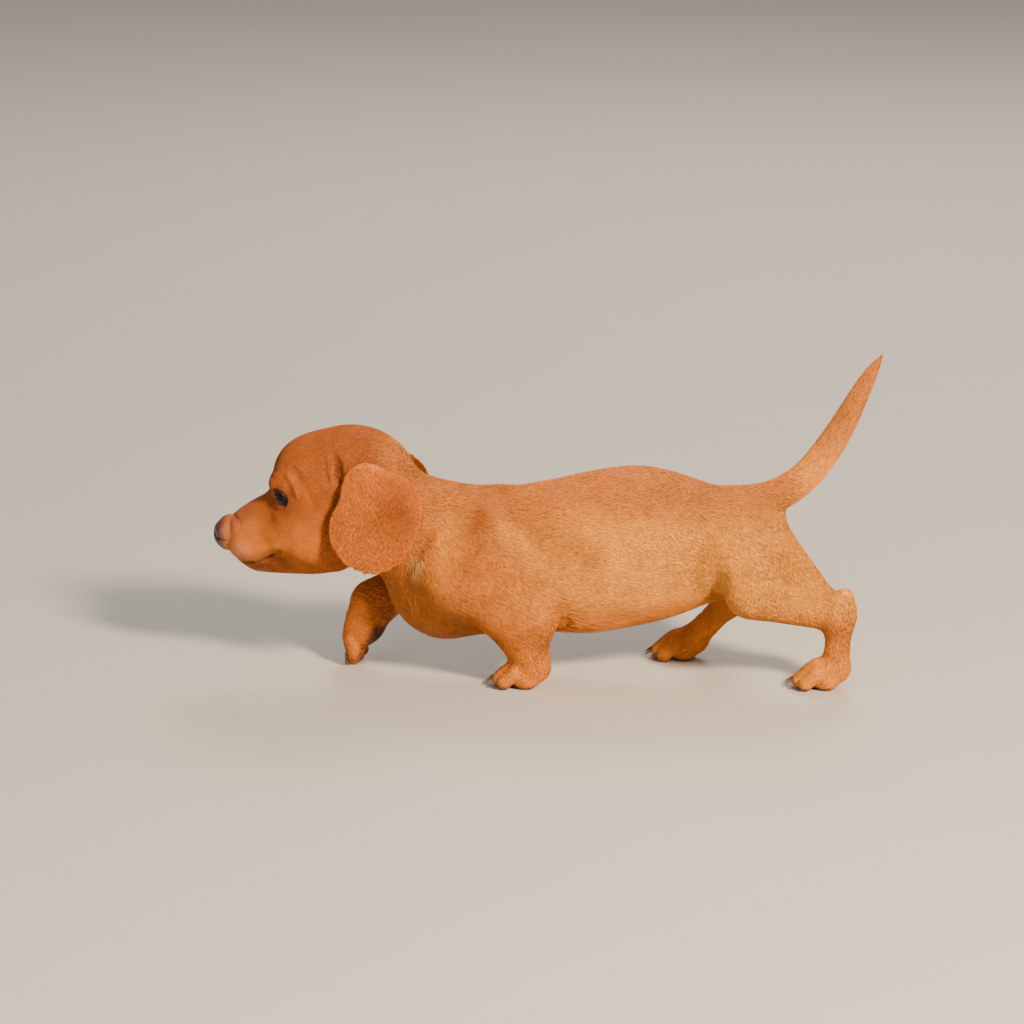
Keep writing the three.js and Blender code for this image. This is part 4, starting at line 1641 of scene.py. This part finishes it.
@dataclass
class Coat:
    """The coat: thin closed tufts that lie along the skin and overlap.

    Attributes:
        skin: The skin that it grows on.
        form: The flesh, which tells ears from head.
        eyes: The eyes, which it leaves bare.
        thin: Thickness of a tuft as a share of its width.
        widest: Where along a tuft it is widest.
        belly: How high a tuft's widest place stands, as a share of its tip's height.
        root: How deep in the skin a tuft starts.
        lowest: Height over the floor that no tuft goes below.
        patch: Width of a tuft's own patch on the map.
        blur: How far the tufts of neighbouring pieces mingle.
        stand: How much more the tips stand off where the hair is longer.
        spread: Between what shares the sizes of tufts vary.
        shades: Between what shares their brightness varies.
    """

    skin: bpy.types.Object
    form: Form
    eyes: Eyes
    thin: float = 0.2
    widest: float = 0.35
    belly: float = 0.6
    root: float = 0.15
    lowest: float = 0.1
    patch: float = 0.003
    blur: float = 5.0
    stand: float = 7.0
    spread: tuple[float, float] = (0.72, 1.28)
    shades: tuple[float, float] = (0.92, 1.08)

    # the faces of a tuft by its points: root, left, right, top and tip
    FACES = np.array([(0, 3, 1), (0, 2, 3), (0, 1, 2), (4, 1, 3), (4, 3, 2), (4, 2, 1)])
    # the place of each point in the tuft's patch of the map, and its brightness: painted shade darkens the
    # root and painted light brightens the tip
    SPOTS = np.array([(0, -0.5), (-0.5, 0), (0.5, 0), (0, 0.15), (0, 0.5)])
    GLOW = np.array([0.92, 0.99, 0.99, 1.0, 1.04])
    PATCHES = (
        CoatPatch("coat_face", 33000),
        CoatPatch("coat_crown", 27000),
        CoatPatch("coat_ears", 30000, "ear_coat"),
        CoatPatch("coat_neck", 32000),
        CoatPatch("coat_side_left", 33000),
        CoatPatch("coat_side_right", 33000),
        CoatPatch("coat_rump", 32000),
        CoatPatch("coat_legs", 28000),
    )
    # length and width of a tuft and how high its tip stands, on the trunk and on other parts
    TRUNK = np.array([6.8, 0.5, 0.45])
    HEAD = np.array([4.2, 0.38, 0.22])
    FACE = np.array([2.7, 0.29, 0.15])
    FOOT = np.array([3.0, 0.36, 0.3])
    EAR = np.array([5.6, 0.35, 0.14])
    TAIL = np.array([6.0, 0.45, 0.6])

    def triangles(self) -> None:
        """Reads the skin's triangles, their corners' places and their places on the map."""
        mesh = self.skin.data
        mesh.calc_loop_triangles()
        count = len(mesh.loop_triangles)
        corners, loops = np.empty(count * 3, np.int64), np.empty(count * 3, np.int64)
        mesh.loop_triangles.foreach_get("vertices", corners)
        mesh.loop_triangles.foreach_get("loops", loops)
        uv = np.empty(len(mesh.loops) * 2)
        mesh.uv_layers[BAKE_MAP].data.foreach_get("uv", uv)
        self.places = places_of(mesh)
        self.normals = normals_of(mesh)
        self.corners = corners.reshape(-1, 3)
        self.uv = uv.reshape(-1, 2)[loops.reshape(-1, 3)]
        a, b, c = (self.places[self.corners[:, i]] for i in range(3))
        self.areas = np.linalg.norm(np.cross(b - a, c - a), axis=1) / 2
        self.middles = (a + b + c) / 3
        self.tree = BVHTree.FromPolygons(self.places.tolist(), self.corners.tolist())

    def growth(self, points: Array, ear: Array) -> Array:
        """Length, width and height of the tufts at points.

        Args:
            points: The roots.
            ear: How much each is on an ear.

        Returns:
            A row of three sizes for each root.
        """
        head = TURN.straight(points)
        sizes = np.tile(self.TRUNK, (len(points), 1))
        above = smooth(52, 66, points[:, 2])
        for kind, share in (
            (self.FOOT, smooth(52, 16, points[:, 2]) * (1 - self.underside(points))),
            (self.TAIL, smooth(130, 160, points[:, 0]) * above),
            (self.HEAD, smooth(-84, -118, head[:, 0]) * above),
            (self.FACE, smooth(-122, -166, head[:, 0]) * above),
            (self.EAR, ear),
        ):
            sizes += share[:, None] * (kind - sizes)
        return sizes

    def underside(self, points: Array) -> Array:
        """How much points belong to the underside of the trunk and not to a leg."""
        return smooth(4, 0, nearest([part for _, part in self.form.trunk()], points))

    def zones(self) -> Array:
        """The number of the patch that each triangle of the skin belongs to."""
        stray = np.random.default_rng(SEED).normal(0, self.blur, self.middles.shape)
        x, y, z = (self.middles + stray).T
        head = TURN.straight(self.middles) + stray
        trunk = nearest([part for _, part in self.form.trunk()], self.middles)
        legs = (z < np.where(x > 60, 62, 50)) & (nearest(self.form.legs(), self.middles) < trunk)
        number = {patch.name: count for count, patch in enumerate(self.PATCHES)}
        zone = np.where(y < 0, number["coat_side_left"], number["coat_side_right"])
        for name, within in (
            ("coat_neck", x < -44),
            ("coat_rump", x > 98),
            ("coat_legs", legs | (z < 22)),
            ("coat_crown", (head[:, 0] < -103) & (z > 60)),
            ("coat_face", (head[:, 0] < -140) & (z > 60)),
            ("coat_ears", self.form.both_ears()(self.middles) < 0.3),
        ):
            zone = np.where(within, number[name], zone)
        return zone

    def bare(self, points: Array) -> Array:
        """Whether the skin is bare: within the lids, on the soles and under the nose.

        Args:
            points: Points of the skin.

        Returns:
            Yes or no for each.
        """
        head = TURN.straight(points)
        local = self.eyes.local(head)
        by_eye = (np.linalg.norm(local, axis=1) < 10) & (local[:, 2] > 0)
        in_slit = by_eye & (self.eyes.opening(local) < 0.12)
        sole = points[:, 2] < 0.8
        nose = (Nose.ahead(head) > -0.4) & (head[:, 0] < -190)
        return in_slit | sole | nose

    def scatter(self, count: int, chosen: Array, rng: np.random.Generator) -> tuple[Array, Array, Array]:
        """Roots spread evenly over triangles of the skin, but for bare places.

        Args:
            count: How many.
            chosen: The numbers of the triangles.
            rng: Source of chance.

        Returns:
            The roots, the skin's normals there, and their places on the map.
        """
        weights = np.cumsum(self.areas[chosen])
        ticks = (np.arange(count) + rng.uniform(0, 1, count)) / count * weights[-1]
        picked = chosen[np.minimum(np.searchsorted(weights, ticks), len(chosen) - 1)]
        a, b = rng.uniform(0, 1, (2, count))
        fold = a + b > 1
        a, b = np.where(fold, 1 - a, a), np.where(fold, 1 - b, b)
        shares = np.stack([1 - a - b, a, b], 1)[:, :, None]
        corners = self.corners[picked]
        roots = (self.places[corners] * shares).sum(1)
        keep = ~self.bare(roots)
        normals = (self.normals[corners[keep]] * shares[keep]).sum(1)
        normals /= np.linalg.norm(normals, axis=1, keepdims=True)
        return roots[keep], normals, (self.uv[picked[keep]] * shares[keep]).sum(1)

    def tufts(self, roots: Array, normals: Array, on_ear: Array, rng: np.random.Generator) -> Array:
        """The five points of each tuft: root, left, right, top and tip.

        Args:
            roots: Where the tufts start.
            normals: The skin's normals there.
            on_ear: How much each is on an ear.
            rng: Source of chance.

        Returns:
            Five rows for each tuft.
        """
        lie = Lie().directions(roots, normals, on_ear, rng)
        longer, shorter = self.fringe(roots), self.shorter(roots)
        sizes = self.growth(roots, on_ear) * rng.uniform(*self.spread, (len(roots), 3))
        lengths = (sizes[:, 0] * longer * shorter)[:, None]
        widths = (sizes[:, 1] * np.minimum(shorter + 0.15, 1))[:, None]
        heights = (sizes[:, 2] * (1 + self.stand * (longer - 1)))[:, None]
        ahead = roots + lie * lengths
        tips = self.over_skin(ahead, heights)
        # a tip that would jump to another part, as from head to ear, stays close to its root
        astray = np.linalg.norm(tips - ahead, axis=1, keepdims=True) > 1.8 + 1.2 * heights
        tips = np.where(astray, roots + lie * lengths * 0.35 + normals * heights * 0.5, tips)
        middles = self.over_skin(roots + (tips - roots) * self.widest, heights * self.belly)
        across = np.cross(tips - roots, normals)
        across /= np.linalg.norm(across, axis=1, keepdims=True) + 1e-9
        half = (across * widths) / 2
        top = middles + normals * (widths * self.thin)
        made = np.stack([roots - normals * self.root, middles - half, middles + half, top, tips], 1)
        made[:, :, 2] = np.maximum(made[:, :, 2], self.lowest)
        return made.reshape(-1, 3)

    def grow(
        self, patch: CoatPatch, chosen: Array, finish: bpy.types.Material, rng: np.random.Generator
    ) -> None:
        """Makes one piece of the coat.

        Args:
            patch: What it is like.
            chosen: The numbers of the triangles that it grows on.
            finish: Its material.
            rng: Source of chance.
        """
        roots, normals, uv = self.scatter(patch.count, chosen, rng)
        near_ear = self.form.both_ears()(roots)
        places = self.tufts(roots, normals, smooth(1.0, 0.0, near_ear), rng)
        starts = np.arange(len(roots))[:, None, None] * len(self.SPOTS)
        piece = self.piece(patch.name, places, (starts + self.FACES).reshape(-1, 3))
        steps = (self.SPOTS * self.patch)[self.FACES]
        spots = np.clip(uv, self.patch, 1 - self.patch)[:, None, None] + steps[None]
        piece.data.uv_layers.new(name=BAKE_MAP).data.foreach_set("uv", spots.ravel())
        shade = Palette().markings(roots, near_ear, self.eyes) * rng.uniform(*self.shades, (len(roots), 1))
        # each tuft's colour, with painted shade at its root and painted light at its tip
        paint(piece.data, np.clip(shade[:, None] * self.GLOW[None, :, None], 0, 1).reshape(-1, 3))
        piece.data.materials.append(finish)
        hand_over(piece, patch.slot)

    @staticmethod
    def piece(name: str, verts: Array, index: Array) -> bpy.types.Object:
        """Many tufts as one smooth object.

        Args:
            name: The object's name.
            verts: Its points.
            index: The numbers of each triangle's corners.

        Returns:
            The object.
        """
        mesh = bpy.data.meshes.new(name)
        mesh.vertices.add(len(verts))
        mesh.vertices.foreach_set("co", (verts * MM).ravel())
        mesh.loops.add(index.size)
        mesh.loops.foreach_set("vertex_index", index.ravel())
        mesh.polygons.add(len(index))
        mesh.polygons.foreach_set("loop_start", np.arange(len(index)) * 3)
        mesh.update(calc_edges=True)
        mesh.shade_smooth()
        return piece_of(name, mesh)

    def over_skin(self, points: Array, heights: Array) -> Array:
        """Points moved to heights above the skin's nearest places.

        Args:
            points: The points.
            heights: A column of heights.

        Returns:
            The moved points.
        """
        found = [self.tree.find_nearest(point) for point in points.tolist()]
        places = np.array([hit[0] for hit in found])
        normals = np.array([hit[1] for hit in found])
        return places + normals * heights

    def fringe(self, points: Array) -> Array:
        """How much longer the hair is than elsewhere, on the breast, belly, withers and thighs.

        Args:
            points: The roots.

        Returns:
            A factor for each.
        """
        x, y, z = points.T
        belly = smooth(46, 34, z) * smooth(-60, -20, x) * smooth(110, 90, x) * smooth(30, 20, np.abs(y))
        longer = 0.8 * ball(points, (-80, 0, 40), (26, 30, 22)) + 0.5 * belly
        longer += 0.6 * ball(points, (86, 0, 46), (22, 40, 14))
        longer += 0.9 * ball(points, (14, 0, 40), (20, 60, 12)) * self.underside(points)
        longer += 0.5 * ball(points, (-38, 0, 119), (8, 10, 6))
        longer += 0.5 * ball(points, (-84, -28, 78), (8, 14, 12))
        longer += 0.3 * ball(points, (144, 0, 84), (10, 24, 22))
        return 1 + longer

    def shorter(self, points: Array) -> Array:
        """How short the hair is on the muzzle, about the eyes and on the toes.

        Args:
            points: The roots.

        Returns:
            A factor for each.
        """
        head = TURN.straight(points)
        muzzle = smooth(-160, -190, head[:, 0])
        lids = smooth(14, 9, np.linalg.norm(self.eyes.local(head), axis=1))
        toes = smooth(16, 6, points[:, 2])
        return 1 - 0.5 * np.maximum(np.maximum(muzzle, lids), 0.6 * toes)

    def build(self, finish: bpy.types.Material, ear_finish: bpy.types.Material) -> None:
        """Makes every piece of the coat.

        Args:
            finish: Material of the body's hair.
            ear_finish: Material of the ears' hair.
        """
        self.triangles()
        zone = self.zones()
        for number, patch in enumerate(self.PATCHES):
            rng = np.random.default_rng(SEED + number)
            chosen = np.nonzero(zone == number)[0]
            self.grow(patch, chosen, ear_finish if patch.slot == "ear_coat" else finish, rng)


@dataclass(frozen=True)
class Nose:
    """The nose leather: a cap over the end of the snout of the straight head.

    Attributes:
        centre: Its middle.
        radii: Its half sizes before it is laid over the snout.
        proud: How far it stands above the snout of the solids, or below if negative.
        tuck: How deep its edge runs under the skin behind it.
        MOULDS: Centre, reach and height of each hollow and swelling of the right half.
    """

    centre: Place = (-199.5, 0.0, 87.0)
    radii: Place = (9.8, 9.4, 10.4)
    proud: float = -0.1
    tuck: float = 1.5
    MOULDS = (
        ((-209.5, 0.0, 81.5), (6.0, 0.7, 6.0), -0.8),
        ((-207.0, 4.8, 91.0), (3.0, 2.6, 2.6), 0.4),
        ((-204.0, 7.8, 89.0), (3.2, 2.5, 2.8), 1.2),
        ((-206.5, 0.0, 94.5), (3.0, 5.0, 2.4), -0.4),
        ((-208.2, 4.1, 86.0), (3.2, 1.6, 1.8), -3.6),
        ((-205.6, 6.8, 84.2), (2.6, 1.8, 1.0), -2.2),
        ((-202.8, 8.4, 83.2), (2.4, 1.8, 0.8), -1.4),
    )

    @staticmethod
    def ahead(head: Array) -> Array:
        """How far points of the straight head lie ahead of the leather's edge."""
        side = np.abs(head[:, 1])
        edge = -200.6 + 0.10 * (head[:, 2] - 76) - 2.4 * smooth(85, 79, head[:, 2])
        edge += 2.6 * np.exp(-(((side - 8) / 3.5) ** 2) - ((head[:, 2] - 88) / 4.5) ** 2)
        return edge - head[:, 0]

    @staticmethod
    def colours(places: Array, push: Array, finish: NoseFinish) -> Array:
        """Dark leather in front, painted shade in the nostrils and grooves, a painted highlight that
        lightens the top, and like the face where it meets the hair.

        Args:
            places: Points of the nose on the straight head.
            push: How far each was pushed out.
            finish: The nose's finish.

        Returns:
            A linear colour for each.
        """
        palette = Palette()
        # dark leather at the front, and painted shade in the nostrils and grooves that the moulds press in
        dark = 0.85 * smooth(-201.5, -207.0, places[:, 0]) + 0.9 * smooth(-0.4, -2.2, push)
        # painted highlight: the top of the leather is lighter
        dark *= 1 - 0.3 * smooth(91, 96, places[:, 2])
        base = np.tile(np.array(linear(finish.back)), (len(places), 1))
        base = palette.mix(base, palette.face, 0.7 * smooth(-204.0, -200.5, places[:, 0]))
        return palette.mix(base, finish.front, dark)

    def build(self, form: Form, finish: NoseFinish) -> None:
        """Makes the nose with its nostrils.

        Args:
            form: The flesh that it lies over.
            finish: Its finish.
        """
        furthest = 8.0  # mm that a point may be drawn
        bm = bmesh.new()
        bmesh.ops.create_icosphere(bm, subdivisions=6, radius=1.0)
        piece = mesh_from("nose_leather", bm)
        unit = places_of(piece.data)
        start = unit * self.radii + self.centre
        laid = pulled(form.head(), start, 0.0, furthest, 6)
        level = self.proud - (self.proud + self.tuck) * smooth(0.2, -1.8, self.ahead(laid))
        laid = pulled(form.head(), laid, level, furthest, 4)
        front = smooth(0.45, 0.1, unit[:, 0])[:, None]
        places = start * (1 - front) + laid * front
        push = sum(height * ball(folded(places), centre, reach) for centre, reach, height in self.MOULDS)
        move_to(piece.data, places)
        places = places + (push * front[:, 0])[:, None] * normals_of(piece.data)
        paint(piece.data, self.colours(places, push, finish))
        move_to(piece.data, TURN.posed(places))
        piece.data.materials.append(finish.material())
        hand_over(piece, "nose_leather", "nose")


@dataclass(frozen=True)
class Claws:
    """The claws: short curved horns, one for each toe.

    Attributes:
        radius: At the root.
        tip: Radius at the tip.
        slim: Its width as a share of its height.
        rows: Number of steps along a claw.
        sides: Number of its faces around.
        hook: How far its middle bows up.
        lowest: Height over the floor that no claw goes below.
    """

    radius: float = 1.5
    tip: float = 0.25
    slim: float = 0.82
    rows: int = 8
    sides: int = 10
    hook: float = 1.0
    lowest: float = 0.2

    def build(self, finish: bpy.types.Material) -> None:
        """Makes every claw of one material."""
        for foot, paw in PAWS.items():
            for number, slot in enumerate(Paw.SLOTS, 1):
                self.claw(f"{foot}_claw_{number}", paw, slot, finish)

    def claw(self, node: str, paw: Paw, slot: float, finish: bpy.types.Material) -> None:
        """Makes one claw in place of a node.

        Args:
            node: The node's name.
            paw: The foot that it is on.
            slot: The toe's place across the foot.
            finish: Its material.
        """
        root, tip = (Vector(end) for end in paw.claw_ends(slot))
        length = (tip - root).length
        bm = bmesh.new()
        size = {"radius1": self.radius, "radius2": self.tip, "depth": length * 0.94}
        bmesh.ops.create_cone(bm, cap_ends=True, segments=self.sides, **size)
        upright = [edge for edge in bm.edges if abs(edge.verts[0].co.z - edge.verts[1].co.z) > length / 2]
        bmesh.ops.subdivide_edges(bm, edges=upright, cuts=self.rows)
        for vertex in bm.verts:
            share = vertex.co.z / length + 0.5
            vertex.co.x *= self.slim
            vertex.co.y += self.hook * 4 * share * (1 - share)
        forward = (tip - root).normalized()
        # the claws of the lifted foot point almost straight down, so they bow forwards
        up = Vector((-1, 0, 0)) if abs(forward.z) > 0.9 else Vector((0, 0, 1))
        aside = up.cross(forward).normalized()
        turn = Matrix((aside, forward.cross(aside), forward)).transposed().to_4x4()
        bmesh.ops.transform(bm, matrix=Matrix.Translation((root + tip) / 2) @ turn, verts=bm.verts)
        for vertex in bm.verts:
            vertex.co.z = max(vertex.co.z, self.lowest)
        piece = mesh_from(f"{node}_horn", bm)
        piece.data.materials.append(finish)
        hand_over(piece, "claw", node)


@dataclass(frozen=True)
class LidRims:
    """The moist dark edges of the lids.

    Attributes:
        thick: Radius of an edge.
        off: How far its middle line lies off the eyeball.
        sides: Number of its faces around.
    """

    thick: float = 0.42
    off: float = 0.45
    sides: int = 8

    def build(self, eyes: Eyes, side: Side, finish: bpy.types.Material) -> None:
        """Makes the edge round one eye.

        Args:
            eyes: The eyes.
            side: Which eye.
            finish: Its material.
        """
        line = eyes.rim_line(eyes.radius + self.off)
        line = TURN.posed(eyes.from_local(line, np.full(len(line), float(side.value))))
        bm = bmesh.new()
        add_tube(bm, line, np.full(len(line), self.thick), self.sides, closed=True)
        piece = mesh_from(f"lid_rim_{side.word}", bm)
        piece.data.materials.append(finish)
        hand_over(piece, "nose_leather")


@dataclass(frozen=True)
class Whiskers:
    """The whiskers of the lips, brows and cheeks.

    Attributes:
        radius: Of a whisker at its root.
        rows: Points along one.
        sides: Number of its faces around.
        bend: How far its tip bends back and down, in shares of its length.
        SINGLES: Root, direction and length of those of brow, cheek and chin, for the right side.
    """

    radius: float = 0.085
    rows: int = 6
    sides: int = 4
    bend: Place = (0.22, 0, -0.18)
    SINGLES = (
        ((-165, 16, 130), (-0.4, 0.6, 0.9), 9),
        ((-164, 17.5, 129.5), (-0.1, 0.8, 0.8), 8),
        ((-150, 27, 92), (0.3, 0.9, -0.4), 9),
        ((-176, 5, 66.5), (0.1, 0.5, -0.9), 7),
    )

    def roots(self) -> list[tuple[Place, Place, float]]:
        """Root, direction and length of each whisker of the right side, on the straight head."""
        made = []
        for row, height in enumerate((84.5, 81.5, 78.5)):
            for step in range(5):
                root = (-196 + 3.4 * step + row, 9.5 + 1.1 * step, height)
                made.append((root, (0.35 + 0.1 * step, 0.9, -0.25 - 0.2 * row), 9 + 1.6 * step))
        return [*made, *self.SINGLES]

    def build(self, form: Form, finish: bpy.types.Material) -> None:
        """Makes all whiskers as one piece.

        Args:
            form: The flesh, onto which the roots are set.
            finish: Their material.
        """
        rng = np.random.default_rng(SEED)
        head = form.head()
        bm = bmesh.new()
        for side in Side:
            for root, lie, length in self.roots():
                start = pulled(head, np.array([root]), -0.6, 12.0, 6)[0] * (1, side.value, 1)
                way = np.array(lie) * (1, side.value, 1) + rng.normal(0, 0.12, 3)
                way /= np.linalg.norm(way)
                self.whisker(bm, start, way, length * rng.uniform(0.8, 1.15))
        piece = mesh_from("whiskers", bm)
        piece.data.materials.append(finish)
        hand_over(piece, "coat")

    def whisker(self, bm: bmesh.types.BMesh, start: Array, way: Array, length: float) -> None:
        """Adds one whisker, which bends down and back.

        Args:
            bm: The bmesh that it is added to.
            start: Its root.
            way: Its direction.
            length: Its length.
        """
        share = np.linspace(0, 1, self.rows)[:, None]
        line = start + way * length * share + np.array(self.bend) * length * share**2
        add_tube(bm, TURN.posed(line), self.radius * (1 - 0.85 * share[:, 0]), self.sides)


@dataclass(frozen=True)
class Studio:
    """A plain pale floor, soft light and the photo's camera.

    Attributes:
        middle: What the middle of the picture shows.
        elevation: Degrees that the camera looks down.
        distance: From the camera to the middle, in metres.
        width: What the picture spans at the middle.
        floor: The board that it stands on.
        aim: Where the lamps point, in metres.
        LAMPS: Name, place in metres, width, watts and colour of each lamp: a warm key to the right
            in front, a fill to the left, and a rim light behind.
    """

    middle: Place = (-22.9, 0.0, 103.5)
    elevation: float = 14.0
    distance: float = 3.0
    width: float = 634.9
    floor: Finish = GrainFinish(
        "matt_painted_board", "#C6C3BC", "#C9C6BF", 1000 / 6, 4.0, (0.0, 1.0), roughness=0.75, ior=1.5
    )
    aim: Place = (0, 0, 0.08)
    LAMPS = (
        ("key", (1.2, -1.7, 1.4), 0.45, 142.0, "#FFE2C0"),
        ("fill", (-1.8, -1.9, 1.1), 1.8, 19.0, "#F4F3F4"),
        ("rim", (0.4, 1.9, 1.7), 1.0, 30.0, "#FFF6E8"),
    )

    def build(self) -> None:
        """Makes floor, lights and camera."""
        self.make_floor()
        self.make_lights()
        self.make_camera()

    def make_floor(self) -> None:
        """Lays a large floor of matt painted board."""
        bm = bmesh.new()
        bmesh.ops.create_grid(bm, x_segments=4, y_segments=4, size=6000)
        piece = mesh_from("floor", bm)
        piece.data.materials.append(self.floor.material())

    def make_lights(self) -> None:
        """Hangs the lamps and sets the light of the room."""
        aim = Vector(self.aim)
        for name, place, size, watts, colour in self.LAMPS:
            data = bpy.data.lights.new(name, "AREA")
            data.shape = "DISK"
            data.size = size
            data.energy = watts
            data.color = linear(colour)
            lamp = bpy.data.objects.new(name, data)
            lamp.location = place
            lamp.rotation_euler = (aim - Vector(place)).to_track_quat("-Z", "Y").to_euler()
            bpy.context.scene.collection.objects.link(lamp)
        world = bpy.data.worlds.new("studio")
        world.use_nodes = True
        background = world.node_tree.nodes["Background"]
        background.inputs["Color"].default_value = (0.93, 0.91, 0.88, 1.0)
        background.inputs["Strength"].default_value = 0.38
        bpy.context.scene.world = world

    def make_camera(self) -> None:
        """Sets the camera at the photo's viewing angle."""
        data = bpy.data.cameras.new("camera")
        data.sensor_width = 36.0
        data.lens = data.sensor_width * self.distance / (self.width * MM)
        data.clip_start, data.clip_end = 0.1, 30.0
        camera = bpy.data.objects.new("camera", data)
        tilt = math.radians(self.elevation)
        ahead = Vector((0, math.cos(tilt), -math.sin(tilt)))
        camera.location = Vector(self.middle) * MM - ahead * self.distance
        camera.rotation_euler = (math.pi / 2 - tilt, 0, 0)
        bpy.context.scene.collection.objects.link(camera)
        bpy.context.scene.camera = camera


def main() -> None:
    """Builds the puppy, piece by piece, and its studio."""
    logging.basicConfig(level=logging.INFO, format="%(relativeCreated)d %(message)s", stream=sys.stdout)
    form, eyes = Form(), Eyes()
    Studio().build()
    hair = HairFinish().material()
    ear_hair = HairFinish("silky_ear_hair", roughness=0.45).material()
    skin = Skin(form, eyes).build(hair)
    eye_finish = EyeFinish().material()
    rim_finish = GrainFinish("moist_lid_rim", "#2A1714", "#5E3A34").material()
    for side in Side:
        eyes.build(side, eye_finish)
        LidRims().build(eyes, side, rim_finish)
    Nose().build(form, NoseFinish())
    Claws().build(GrainFinish().material())
    Whiskers().build(form, GrainFinish("whisker", "#9A6A42", "#D8B48C").material())
    Coat(skin, form, eyes).build(hair, ear_hair)


if __name__ == "__main__":
    main()
